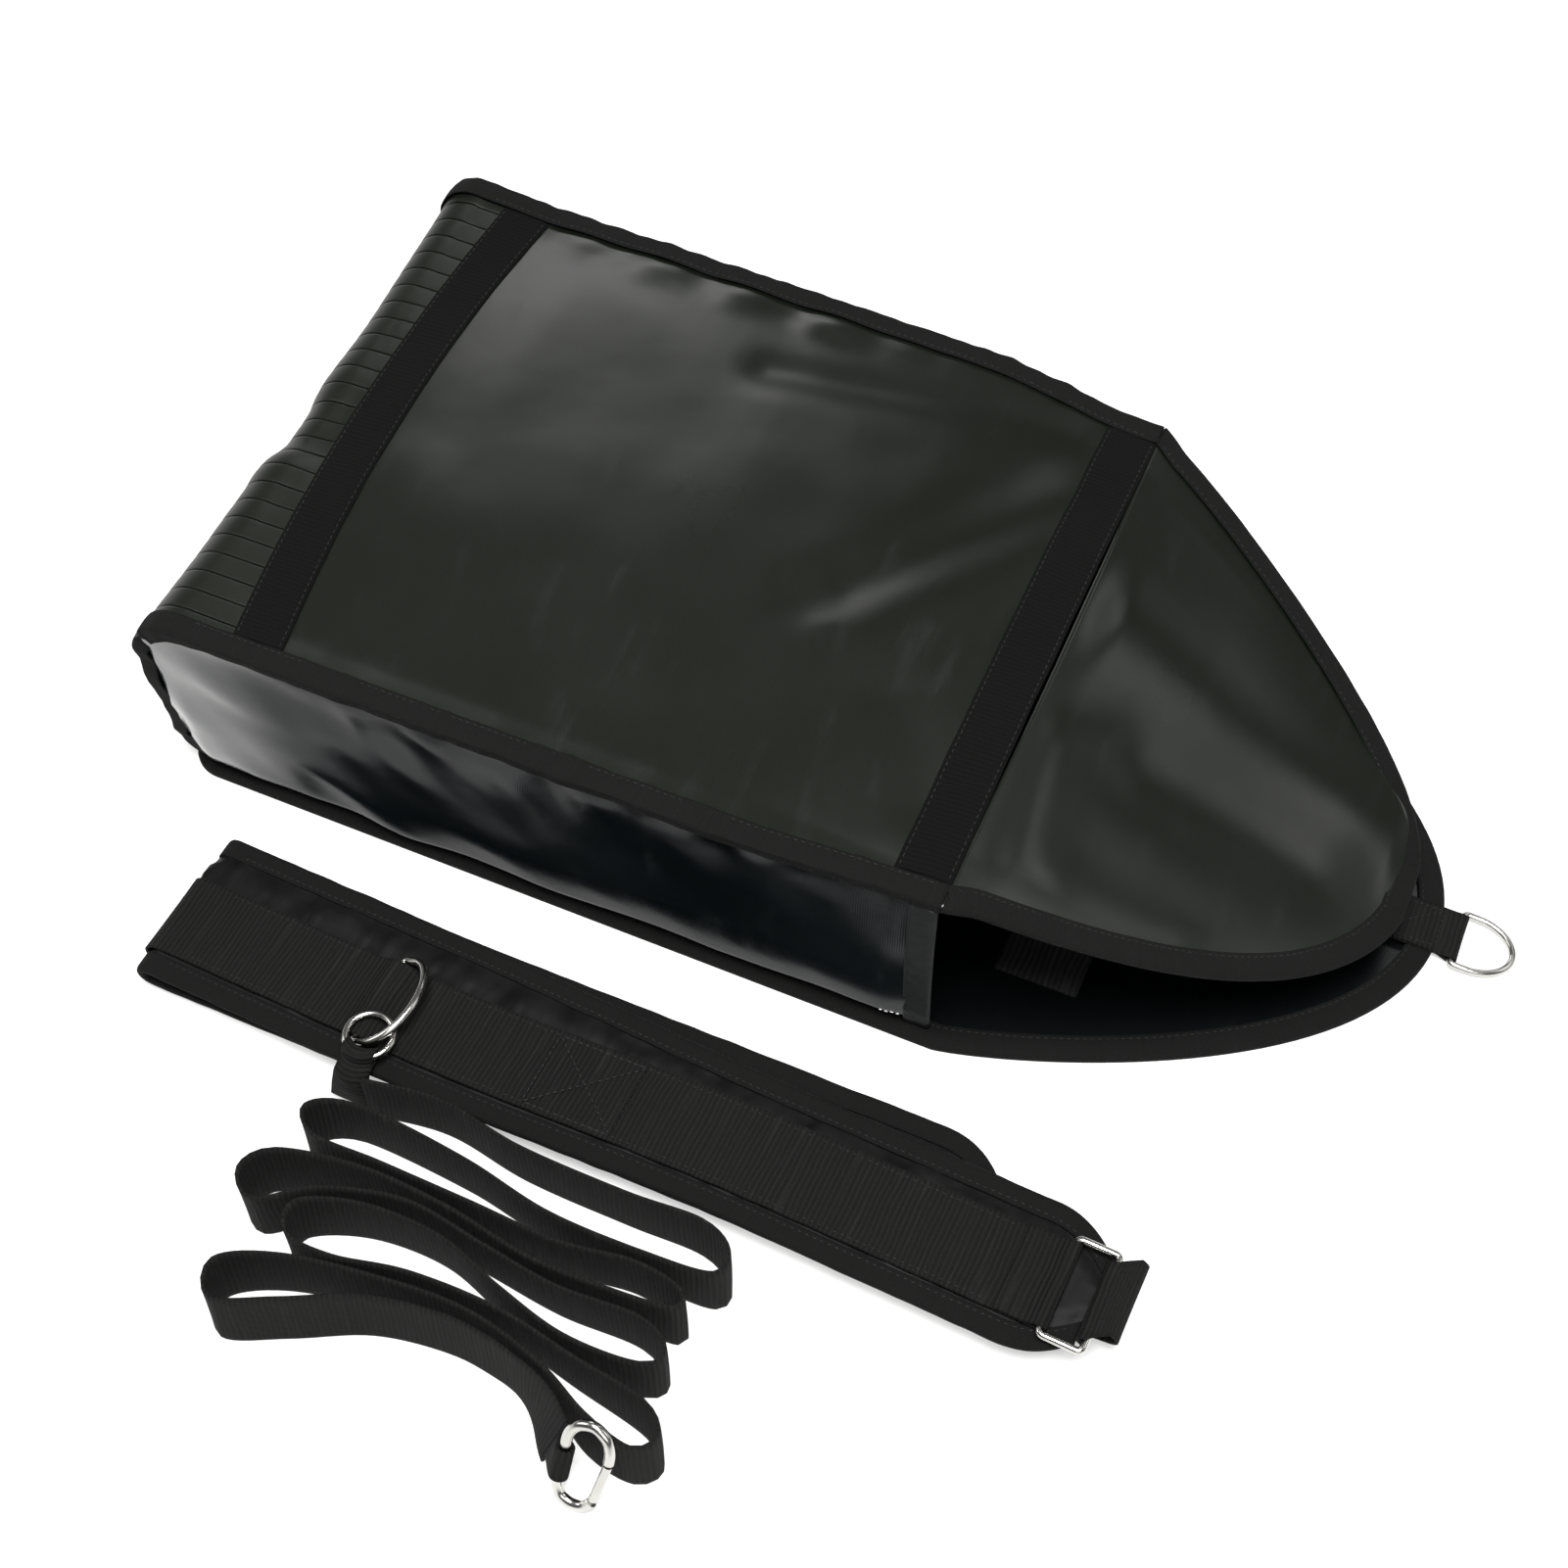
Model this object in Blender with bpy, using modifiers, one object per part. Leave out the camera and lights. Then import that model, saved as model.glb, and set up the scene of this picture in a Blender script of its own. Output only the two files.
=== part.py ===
"""Weight sled: a tarpaulin drag bag, with its padded waist belt and its pull strap laid beside it.

Lengths are metres. The bag's own frame has x from the rear wall to the nose, y from the near
side to the far side and z up from the floor. The empty called layout carries that frame, so that
the finished part has its origin under the middle of the bag and the belt.
"""
import math

import bmesh
import bpy
from mathutils import Matrix, Vector

# Where the bag's frame lies, the gap between pieces that touch, and between curved ones.
LAYOUT_X = -0.3765
LAYOUT_Y = -0.1092
TOUCH = 0.0003
SEAM = 0.0008

# Bag: outer sizes over the binding tape. The far rear corner of the soft top stands a little higher.
FLOOR_WIDTH = 0.360
TOP_WIDTH = 0.371
MOUTH_WIDTH = 0.352
BAG_HEIGHT = 0.148
MOUTH_X = 0.4705
MOUTH_HEIGHT = 0.141
MOUTH_SLOPE_START_X = 0.36
FAR_LIFT = 0.011
FAR_LIFT_START_X = 0.05
REAR_WALL_X = 0.0
SHOULDER_RADIUS = 0.032
HEEL_RADIUS = 0.022
TOP_CROWN = 0.006
CROWN_RUN = 0.09
TOP_INSET = 0.0005
SIDE_TUCK = 0.014

# Sheets, tapes and webbing.
PANEL_THICK = 0.0015
FLOOR_THICK = 0.002
GUSSET_THICK = 0.0012
TAPE_THICK = 0.001
TAPE_WIDTH = 0.0145
FLOOR_TAPE_THICK = 0.0022
TOP_TAPE_LEG = 0.004
REAR_TAPE_LEG = 0.010
HEM_WIDTH = 0.0145
HEM_THICK = 0.0009
WEB_THICK = 0.0015
CROSS_STRAP_WIDTH = 0.030
REAR_STRAP_X = 0.0713
REAR_STRAP_SLANT = -0.0072
REAR_STRAP_BOW = 0.0132

# Nose of the floor and of the flap: each is a rounded bow from its shoulder to its tip.
NOSE_LENGTH = 0.2395
NOSE_TIP_X = MOUTH_X + NOSE_LENGTH
NOSE_START_X = MOUTH_X + 0.0045
FLAP_BOW_X = MOUTH_X - 0.0205
FLAP_HALF_WIDTH = 0.1785
BOW_POWER = 1.2
BOW_ROUND = 0.485

# The flap hangs from the mouth's upper edge. Its sag gives shares of its run and of its fall.
FLAP_SEAM = 0.0014
FLAP_TIP_INSET = 0.0215
FLAP_TIP_BLUNT = 0.0020
FLAP_TIP_HEIGHT = 0.0312
FLAP_SAG = ((0.27, 0.25), (0.68, 0.86))
FLAP_TIP_X = NOSE_TIP_X - FLAP_TIP_INSET

# Closure strips in the mouth.
CLOSURE_X = MOUTH_X + 0.0425
CLOSURE_WIDTH = 0.048
CLOSURE_HALF_SPAN = 0.120
CLOSURE_THICK = 0.0018
HOOK_STRIP_ALONG = (0.30, 0.48)
HOOK_HALF_SPAN = 0.090

# Towing tab and ring at the nose.
TAB_WIDTH = 0.030
TAB_REAR_X = NOSE_TIP_X - 0.046
TAB_RING_X = NOSE_TIP_X + 0.0095
TAB_NECK = 0.0085
TAB_NECK_RUN = 0.0035
TAB_NECK_DROP = 0.0018
TAB_STEP = 0.008
TAB_WEB_THICK = 0.0013
NOSE_RING_WIRE = 0.0040
NOSE_RING_HALF = 0.0175
NOSE_RING_DEPTH = 0.0315
NOSE_RING_Z = 0.0042
NOSE_RING_REST = 3.4

# Waist belt, in its own frame: x from the fold to the ring end, y across, z up.
BELT_X = 0.056
BELT_Y = -0.0890
BELT_YAW = -2.1
BELT_HALF_WIDTH = 0.0475
BELT_TOP_END_X = 0.548
BELT_BACK_END_X = 0.478
BELT_PAD_THICK = 0.007
BELT_EDGE_THICK = 0.003
BELT_EDGE_WIDTH = 0.012
BELT_ROLL = (0.004, 0.012)
BELT_ROLL_SHARE = 0.86
BELT_GAP = 0.006
BELT_BACK_SKEW = 0.036
BELT_END_ROUND = 0.040
BELT_END_TAPER = 0.016
BELT_TAPER_POWER = 2.5
BELT_CURL = 0.006
BELT_TOP_SHIFT = 0.002
BELT_BEND_START_X = 0.15
BELT_BEND_END_X = 0.38
BELT_WEB_WIDTH = 0.049
BELT_WEB_Y = -0.009
BELT_WEB_SHIFT = 0.0075
BELT_WEB_INSET = 0.002
BELT_FOLDED_END_X = 0.505

# Belt rings.
BELT_RING_X = 0.139
BELT_RING_WIRE = 0.0045
BELT_RING_HALF = 0.0275
BELT_RING_DEPTH = 0.027
BELT_RING_REST = 30.0
END_RING_X = 0.530
END_RING_WIRE = 0.0040
END_RING_LENGTH = 0.023
END_RING_HALF = 0.0275
END_NECK = ((0.009, 0.0), (0.005, 0.0018))
BAR_HUMP = (0.016, 0.010, 0.003)
BAR_HUMP_RISE = 0.0006
RING_CORNER = 0.0028
RING_STRAIGHT = 0.25
RING_BOW_ANGLE = 80
RING_BOW_STEP = 16

# Closing strap at the belt's end.
CLOSING_WIDTH = 0.044
CLOSING_RISE_X = 0.500
CLOSING_BEND_X = 0.5700
CLOSING_BEND_Z = 0.0180
CLOSING_BEND_RADIUS = 0.0040
CLOSING_SLACK = 0.0016
CLOSING_WRAP = 175
CLOSING_TAIL = (0.004, -0.0038)

# Pull strap, which stands on its edge, and its sewn ends.
STRAP_WIDTH = 0.038
STRAP_THICK = 0.0016
STRAP_FLOOR_GAP = 0.0005
STRAP_AWAY = (-0.41, 0.912)
STRAP_END_WIDTH = (0.28, 0.32, 0.905)
STRAP_TWIST_LENGTH = 0.045
STRAP_STEP = 0.0075
STRAP_ROUTE = (
    (0.2142, -0.1542, 2), (0.2592, -0.1482, 2), (0.3092, -0.1552, 2), (0.3692, -0.1562, 2),
    (0.4116, -0.1551, 5), (0.4310, -0.1650, 8), (0.4287, -0.1784, 6), (0.3952, -0.1812, 2),
    (0.3392, -0.1812, 2), (0.2842, -0.1722, 2), (0.2195, -0.1688, 4), (0.1960, -0.1800, 8),
    (0.2075, -0.1918, 4), (0.2472, -0.1912, 2), (0.2992, -0.1922, 2), (0.3492, -0.1932, 2),
    (0.3895, -0.1878, 4), (0.4169, -0.1927, 7), (0.4189, -0.2027, 7), (0.3842, -0.2052, 2),
    (0.3392, -0.2062, 2), (0.2892, -0.1987, 2), (0.2395, -0.1978, 4), (0.1950, -0.2080, 8),
    (0.1830, -0.2240, 8), (0.1976, -0.2351, 5), (0.2252, -0.2157, 2), (0.2692, -0.2044, 2),
    (0.3142, -0.2092, 2), (0.3592, -0.2142, 2), (0.4045, -0.2128, 4), (0.4239, -0.2237, 7),
    (0.4147, -0.2344, 6), (0.3742, -0.2352, 2), (0.3342, -0.2262, 2), (0.2942, -0.2142, 2),
    (0.2515, -0.2150, 4), (0.2189, -0.2277, 7), (0.2226, -0.2441, 5), (0.2493, -0.2453, 3),
    (0.2893, -0.2375, 3), (0.3393, -0.2365, 3), (0.3846, -0.2441, 5), (0.4250, -0.2510, 9),
    (0.4390, -0.2630, 9), (0.4290, -0.2740, 8), (0.4020, -0.2690, 13), (0.3700, -0.2537, 7),
    (0.3245, -0.2432, 4), (0.2745, -0.2464, 4), (0.2247, -0.2564, 6), (0.1970, -0.2720, 9),
    (0.2060, -0.2900, 9), (0.2380, -0.2770, 9), (0.2760, -0.2590, 9), (0.3150, -0.2520, 9),
    (0.3420, -0.2535, 9), (0.3600, -0.2577, 10), (0.3750, -0.2653, 14), (0.3900, -0.2790, 20),
)
RING_LOOP_FOOT = (0.2020, -0.1535)
RING_LOOP_WIDTHS = (0.011, 0.024)
RING_LOOP_RISE = ((0.0, 0.0040), (0.0, 0.0150), (0.0015, 0.0250))
RING_LOOP_FALL = ((0.0070, 0.0262), (0.0042, 0.0225), (0.0034, 0.0150), (0.0034, 0.0040))
STRAP_RING_WIRE = 0.0040
STRAP_RING_RADIUS = 0.0130
STRAP_RING_CENTRE = (0.2030, -0.1262, 0.0310)

# Carabiner, in its own frame: x across from the strap's bar to the gate, y along it. It leans.
HOOK_CENTRE = (0.4079, -0.2852, 0.0251)
HOOK_TILT = 58.0
HOOK_YAW = -1.9
HOOK_WIRE = 0.0056
HOOK_BAR_X = -0.0100
HOOK_BODY = (
    (0.0130, 0.0086), (0.0130, 0.0138), (0.0102, 0.0216), (0.0020, 0.0260),
    (-0.0062, 0.0226), (-0.0100, 0.0156), (-0.0100, 0.0050), (-0.0100, -0.0060),
    (-0.0100, -0.0160), (-0.0075, -0.0225), (-0.0010, -0.0250), (0.0060, -0.0236),
    (0.0095, -0.0180),
)
HOOK_STEP = 0.0028
HOOK_GATE_ENDS = ((0.0098, -0.0164), (0.0130, 0.0070))
HOOK_GATE_WIRE = 0.0048
HOOK_LOOP_WIDTHS = (0.018, 0.022)

# Smoothness: segments along and across the sheets, and points on each arc.
SHEET_ALONG = 16
SHEET_ACROSS = 12
BELT_STATIONS = 5
ARC_POINTS = 9
WIRE_SIDES = 2

MID_Y = FLOOR_WIDTH / 2
FLOOR_TAPE_TOP = FLOOR_THICK + TOUCH + FLOOR_TAPE_THICK
SHELL_FOOT = FLOOR_TAPE_TOP + 2 * TOUCH

COLOURS = {
    "tarpaulin": ((0.030, 0.031, 0.033), 0.34, 0.0),
    "glossy_pvc": ((0.022, 0.025, 0.028), 0.18, 0.0),
    "webbing": ((0.012, 0.012, 0.013), 0.85, 0.0),
    "binding": ((0.010, 0.010, 0.011), 0.80, 0.0),
    "padding": ((0.022, 0.022, 0.023), 0.60, 0.0),
    "steel": ((0.72, 0.71, 0.69), 0.18, 1.0),
}


def clear_scene():
    """Remove what the scene holds."""
    for item in list(bpy.data.objects):
        bpy.data.objects.remove(item, do_unlink=True)


def make_material(name):
    """One plain Principled material."""
    colour, roughness, metallic = COLOURS[name]
    material = bpy.data.materials.new(name)
    material.use_nodes = True
    shader = material.node_tree.nodes["Principled BSDF"]
    shader.inputs["Base Color"].default_value = (*colour, 1.0)
    shader.inputs["Roughness"].default_value = roughness
    shader.inputs["Metallic"].default_value = metallic
    material.diffuse_color = (*colour, 1.0)
    return material


clear_scene()
PARTS = bpy.data.collections.new("weight_sled")
bpy.context.scene.collection.children.link(PARTS)
MATERIALS = {name: make_material(name) for name in COLOURS}


def make_empty(name, location, tilt=0.0, yaw=0.0, parent=None):
    """An empty that carries a frame, tilted about its x and then turned about the vertical."""
    empty = bpy.data.objects.new(name, None)
    empty.location = location
    empty.rotation_euler = (math.radians(tilt), 0.0, math.radians(yaw))
    empty.parent = parent
    PARTS.objects.link(empty)
    return empty


LAYOUT = make_empty("layout", (LAYOUT_X, LAYOUT_Y, 0.0))
BELT = make_empty("belt_frame", (BELT_X, BELT_Y, 0.0), 0.0, BELT_YAW, LAYOUT)
HOOK = make_empty("hook_frame", HOOK_CENTRE, HOOK_TILT, HOOK_YAW, LAYOUT)

# The flap turns about a line over its rear edge, level with its crown.
PANEL_SINK = TAPE_THICK + SEAM + PANEL_THICK / 2
FLAP_START_Z = MOUTH_HEIGHT - PANEL_SINK
FLAP_HINGE = (MOUTH_X + TOUCH, MID_Y, FLAP_START_Z + TOP_CROWN + PANEL_THICK / 2 + TOUCH)
FLAP = make_empty("flap_hinge", FLAP_HINGE, 0.0, 0.0, LAYOUT)
FLAP_SPOT = tuple(-v for v in FLAP_HINGE)


def place(name, data, material, frame=LAYOUT, location=(0.0, 0.0, 0.0), rotation=(0.0, 0.0, 0.0)):
    """Put finished data into the model as one named piece."""
    piece = bpy.data.objects.new(name, data)
    piece.parent = frame
    piece.location = location
    piece.rotation_euler = rotation
    data.materials.append(MATERIALS[material])
    PARTS.objects.link(piece)
    return piece


def mesh_from(name, bm):
    """Turn a bmesh into mesh data, shaded smooth except at its sharp edges."""
    mesh = bpy.data.meshes.new(name)
    bm.to_mesh(mesh)
    bm.free()
    mesh.shade_smooth()
    mesh.set_sharp_from_angle(angle=math.radians(40))
    return mesh


def sheet(name, along, across, shape, thick, material, frame=LAYOUT, **spot):
    """A cloth sheet: a grid laid on shape(s, t), with s and t from 0 to 1, then thickened."""
    bm = bmesh.new()
    bmesh.ops.create_grid(bm, x_segments=along, y_segments=across, size=0.5)
    for vertex in bm.verts:
        vertex.co = Vector(shape(vertex.co.x + 0.5, vertex.co.y + 0.5))
    piece = place(name, mesh_from(name, bm), material, frame, **spot)
    wall = piece.modifiers.new("wall", "SOLIDIFY")
    wall.thickness = thick
    wall.offset = 0.0
    wall.use_even_offset = True
    return piece


def loft(name, sections, material, frame=LAYOUT, closed=False, **spot):
    """A solid through a row of like sections, each a closed ring of points."""
    bm = bmesh.new()
    rings = [[bm.verts.new(point) for point in section] for section in sections]
    count = len(rings[0])
    pairs = list(zip(rings, rings[1:]))
    if closed:
        pairs.append((rings[-1], rings[0]))
    for ring, after in pairs:
        for i in range(count):
            j = (i + 1) % count
            bm.faces.new((ring[i], ring[j], after[j], after[i]))
    if not closed:
        bm.faces.new(rings[0])
        bm.faces.new(rings[-1])
    bmesh.ops.recalc_face_normals(bm, faces=bm.faces)
    return place(name, mesh_from(name, bm), material, frame, **spot)


def strip(name, path, thick, width, material, frame=LAYOUT, mid_y=0.0, askew=None):
    """A flat band that follows a path of (x, z); askew gives its shift along y at each point."""
    points = [Vector(p) for p in path]
    sections = []
    for i, point in enumerate(points):
        before = (point - points[max(i - 1, 0)]).normalized()
        after = (points[min(i + 1, len(points) - 1)] - point).normalized()
        along = (before + after).normalized()
        share = max(along.dot(after if after.length else before), 0.5)
        normal = Vector((-along.y, 0.0, along.x)) * thick / 2 / share
        shift = askew(point.x, point.y) if askew else 0.0
        centre = Vector((point.x, mid_y + shift, point.y))
        side = Vector((0.0, width / 2, 0.0))
        sections.append([centre - side - normal, centre + side - normal,
                         centre + side + normal, centre - side + normal])
    return loft(name, sections, material, frame)


def wire(name, points, diameter, material, frame=LAYOUT, closed=False, **spot):
    """A round wire along the points."""
    curve = bpy.data.curves.new(name, "CURVE")
    curve.dimensions = "3D"
    curve.bevel_depth = diameter / 2
    curve.bevel_resolution = WIRE_SIDES
    curve.use_fill_caps = True
    spline = curve.splines.new("POLY")
    spline.points.add(len(points) - 1)
    spline.use_cyclic_u = closed
    for point, place_at in zip(spline.points, points):
        point.co = (*place_at, 1.0)
    return place(name, curve, material, frame, **spot)


def arc(centre, radius, start, end, count=ARC_POINTS):
    """Points on an arc in a plane, from one angle to another, in degrees."""
    angles = [math.radians(start + (end - start) * i / (count - 1)) for i in range(count)]
    return [(centre[0] + radius * math.cos(a), centre[1] + radius * math.sin(a)) for a in angles]


def smooth_curve(points, step):
    """Points about a step apart, seen from above, on the smooth curve through the given points."""
    ends = [2 * points[0] - points[1], *points, 2 * points[-1] - points[-2]]
    fine = []
    for before, start, end, after in zip(ends, ends[1:], ends[2:], ends[3:]):
        count = max(1, round((end - start).xy.length / step))
        for i in range(count):
            t = i / count
            fine.append(0.5 * (2 * start + (end - before) * t
                               + (2 * before - 5 * start + 4 * end - after) * t ** 2
                               + (3 * start - before - 3 * end + after) * t ** 3))
    fine.append(points[-1].copy())
    return fine


def spaced(start, end, count):
    """Places between two ends, evenly spaced, without the ends."""
    return [start + (end - start) * i / (count + 1) for i in range(1, count + 1)]


def ease(value):
    """A smooth step from 0 to 1."""
    value = min(max(value, 0.0), 1.0)
    return value * value * (3 - 2 * value)


def bow_half(x, start, tip, half):
    """Half the width of a bow-shaped nose at x."""
    share = min(max((x - start) / (tip - start), 0.0), 1.0)
    return half * (1 - share ** BOW_POWER) ** BOW_ROUND


def bow_edge(start, tip, half, count):
    """Points (x, half width) round one side of a bow, closer together near the tip."""
    turns = [math.pi / 2 * i / (count - 1) for i in range(count)]
    edge = []
    for turn in turns:
        share = (math.sin(turn) ** 2) ** (1 / BOW_POWER)
        edge.append((start + (tip - start) * share, half * (math.cos(turn) ** 2) ** BOW_ROUND))
    return edge


def bezier(points, t):
    """A point on a cubic Bezier curve."""
    a, b, c, d = (Vector(p) for p in points)
    return a * (1 - t) ** 3 + 3 * b * t * (1 - t) ** 2 + 3 * c * t * t * (1 - t) + d * t ** 3


def far_share(y):
    """How far across the bag a point is: 0 at the near side, 1 at the far side."""
    return min(max(y / FLOOR_WIDTH, 0.0), 1.0)


def edge_height(x):
    """The height of the tape along the near top edge."""
    fall = ease((x - MOUTH_SLOPE_START_X) / (MOUTH_X - MOUTH_SLOPE_START_X))
    return BAG_HEIGHT + (MOUTH_HEIGHT - BAG_HEIGHT) * fall


def far_lift(x, y, z):
    """How much higher a place on the bag's cloth stands because of its high far rear corner."""
    along = 1 - ease((x - FAR_LIFT_START_X) / (MOUTH_X - FAR_LIFT_START_X))
    upward = ease((z / BAG_HEIGHT - 0.5) / 0.45)
    return FAR_LIFT * far_share(y) ** 2 * along * upward


def outer_height(x, y):
    """The height of the tape's level over the top of the bag."""
    return edge_height(x) + far_lift(x, y, BAG_HEIGHT)


def side_half(x, z):
    """Half the bag's width over its tape: it is tucked in at the floor and at the mouth."""
    top = TOP_WIDTH / 2
    pinch = (TOP_WIDTH - MOUTH_WIDTH) / 2 * ease((x - MOUTH_SLOPE_START_X)
                                                 / (MOUTH_X - MOUTH_SLOPE_START_X))
    share = min(max(z / BAG_HEIGHT, 0.0), 1.0)
    return top - SIDE_TUCK * (1 - share) ** 2 - pinch * share


def crown(x, y):
    """How far the soft top rises over the level of its edges."""
    flat = MOUTH_WIDTH / 2 - TAPE_WIDTH - FLOOR_THICK
    share = min(abs(y - MID_Y) / flat, 1.0)
    return TOP_CROWN * (1 - share * share) * ease((x - SHOULDER_RADIUS) / CROWN_RUN)


def top_surface(x, y):
    """The middle of the top panel's thickness."""
    return outer_height(x, y) - PANEL_SINK + crown(x, y)


def shell_profile(inset):
    """The rear wall's and top's outline (x, z), from the heel up and over the shoulder."""
    heel = (REAR_WALL_X + HEEL_RADIUS, SHELL_FOOT + HEEL_RADIUS)
    shoulder = (REAR_WALL_X + SHOULDER_RADIUS, BAG_HEIGHT - SHOULDER_RADIUS)
    profile = arc(heel, HEEL_RADIUS - inset, 270, 180, 6)
    rise = (shoulder[1] - heel[1]) / 4
    profile += [(REAR_WALL_X + inset, heel[1] + rise * i) for i in range(1, 4)]
    profile += arc(shoulder, SHOULDER_RADIUS - inset, 180, 90)
    return profile


def floor_outline(inset):
    """The floor's outline, inset from the outer edge of its tape, as (x, y)."""
    half = FLOOR_WIDTH / 2
    corner = HEEL_RADIUS
    near = [(x, -y) for x, y in arc((REAR_WALL_X + corner, half - corner), corner, 180, 90, 5)]
    near += [(REAR_WALL_X + MOUTH_X * i / 6, -half) for i in range(1, 6)]
    near += [(x, -h) for x, h in bow_edge(NOSE_START_X, NOSE_TIP_X, half, 16)]
    ring = near + [(x, -y) for x, y in reversed(near[:-1])]
    moved = []
    for i, point in enumerate(ring):
        before, after = Vector(ring[i - 1]), Vector(ring[(i + 1) % len(ring)])
        into = (after - before).normalized()
        into = Vector((-into.y, into.x))
        moved.append((point[0] + into.x * inset, MID_Y + point[1] + into.y * inset))
    return moved


def build_floor():
    """The bag's floor sheet and the tape round its edge."""
    curve = bpy.data.curves.new("bottom_panel", "CURVE")
    curve.dimensions = "2D"
    curve.fill_mode = "BOTH"
    curve.extrude = FLOOR_THICK / 2
    spline = curve.splines.new("POLY")
    outline = floor_outline(TAPE_THICK + 2 * TOUCH)
    spline.points.add(len(outline) - 1)
    for point, (x, y) in zip(spline.points, outline):
        point.co = (x, y, 0.0, 1.0)
    spline.use_cyclic_u = True
    place("bottom_panel", curve, "tarpaulin", location=(0.0, 0.0, FLOOR_THICK / 2))
    outer, lip, inner = (floor_outline(d) for d in (0.0, TAPE_THICK, TAPE_WIDTH))
    under = FLOOR_THICK + TOUCH
    over = FLOOR_TAPE_TOP
    sections = []
    for a, b, c in zip(outer, lip, inner):
        sections.append([(*a, 0.0), (*b, 0.0), (*b, under), (*c, under), (*c, over), (*a, over)])
    loft("bottom_binding", sections, "binding", closed=True)


def strap_line(w):
    """Where the rear cross strap's middle runs: w is -1 at the near side and 1 at the far side."""
    return REAR_STRAP_X + REAR_STRAP_SLANT * w - REAR_STRAP_BOW * (1 - w * w)


def build_rear_and_top():
    """The ribbed rear panel, which rolls over the shoulder, and the smooth top panel."""
    profile = shell_profile(PANEL_SINK)
    last = len(profile) - 1
    flat_start = profile[-1][0]
    steps = last + 3
    side = TAPE_THICK + SEAM

    def rear_shape(s, t):
        i = round(s * steps)
        w = 2 * t - 1
        x, z = profile[min(i, last)]
        if i > last:
            x += (strap_line(w) - TOUCH - flat_start) * (i - last) / 3
        y = MID_Y + w * (side_half(x, z) - side)
        if i > last:
            return x, y, top_surface(x, y)
        return x, y, z + far_lift(x, y, z)

    sheet("rear_panel", steps, SHEET_ACROSS, rear_shape, PANEL_THICK, "tarpaulin")

    def top_shape(s, t):
        w = 2 * t - 1
        start = strap_line(w) + TOUCH
        x = start + (MOUTH_X - TOP_INSET - start) * s
        y = MID_Y + w * (side_half(x, BAG_HEIGHT) - side)
        return x, y, top_surface(x, y)

    sheet("top_panel", SHEET_ALONG, SHEET_ACROSS, top_shape, PANEL_THICK, "tarpaulin")


def build_cross_straps():
    """The two webbing straps over the top, ending at the edge tape."""
    lift = PANEL_THICK / 2 + SEAM + WEB_THICK / 2
    strap_half = CROSS_STRAP_WIDTH / 2

    def over(middle, s, w):
        x = middle + (2 * s - 1) * strap_half
        y = MID_Y + w * (side_half(x, BAG_HEIGHT) - TAPE_WIDTH - TOUCH)
        return x, y, top_surface(x, y) + lift

    def over_rear(s, t):
        return over(strap_line(2 * t - 1), s, 2 * t - 1)

    def over_front(s, t):
        return over(MOUTH_X - TOP_INSET - strap_half, s, 2 * t - 1)

    sheet("rear_cross_strap", 4, SHEET_ACROSS, over_rear, WEB_THICK, "webbing")
    sheet("front_cross_strap", 4, SHEET_ACROSS, over_front, WEB_THICK, "webbing")


def edge_sections(path, side, leg):
    """Sections of the folded tape along an edge path of (x, z, outward normal)."""
    legs = ((0, 0), (TAPE_WIDTH, 0), (TAPE_WIDTH, -TAPE_THICK), (TAPE_THICK, -TAPE_THICK),
            (TAPE_THICK, -leg), (0, -leg))
    sections = []
    for x, z, normal in path:
        section = []
        for across, down in legs:
            x_leg, z_leg = x + normal[0] * down, z + normal[1] * down
            y_leg = MID_Y + side * (side_half(x_leg, z_leg) - across)
            lift = far_lift(x, MID_Y + side * TOP_WIDTH / 2, z)
            section.append(Vector((x_leg, y_leg, z_leg + lift)))
        sections.append(section)
    return sections


def build_edge_tapes(label, side):
    """The tape down the rear edge and the tape along the top edge of one side."""
    profile = shell_profile(0.0)
    path = []
    for i, (x, z) in enumerate(profile):
        a = profile[max(i - 1, 0)]
        b = profile[min(i + 1, len(profile) - 1)]
        along = Vector((b[0] - a[0], b[1] - a[1])).normalized()
        path.append((x, z, (-along.y, along.x)))
    split = len(profile) - ARC_POINTS // 2
    loft(f"rear_binding_{label}", edge_sections(path[1:split], side, REAR_TAPE_LEG),
         "binding")
    last = path[-1][0]
    rest = [last + (MOUTH_X - last) * i / 12 for i in range(1, 13)]
    top = path[split:] + [(x, edge_height(x), (0.0, 1.0)) for x in rest]
    loft(f"top_binding_{label}", edge_sections(top, side, TOP_TAPE_LEG), "binding")


def wall_y(x, z, side):
    """The middle of the side wall's thickness at a place along and up the side."""
    return MID_Y + side * (side_half(x, z) - TAPE_THICK - SEAM - GUSSET_THICK / 2)


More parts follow.
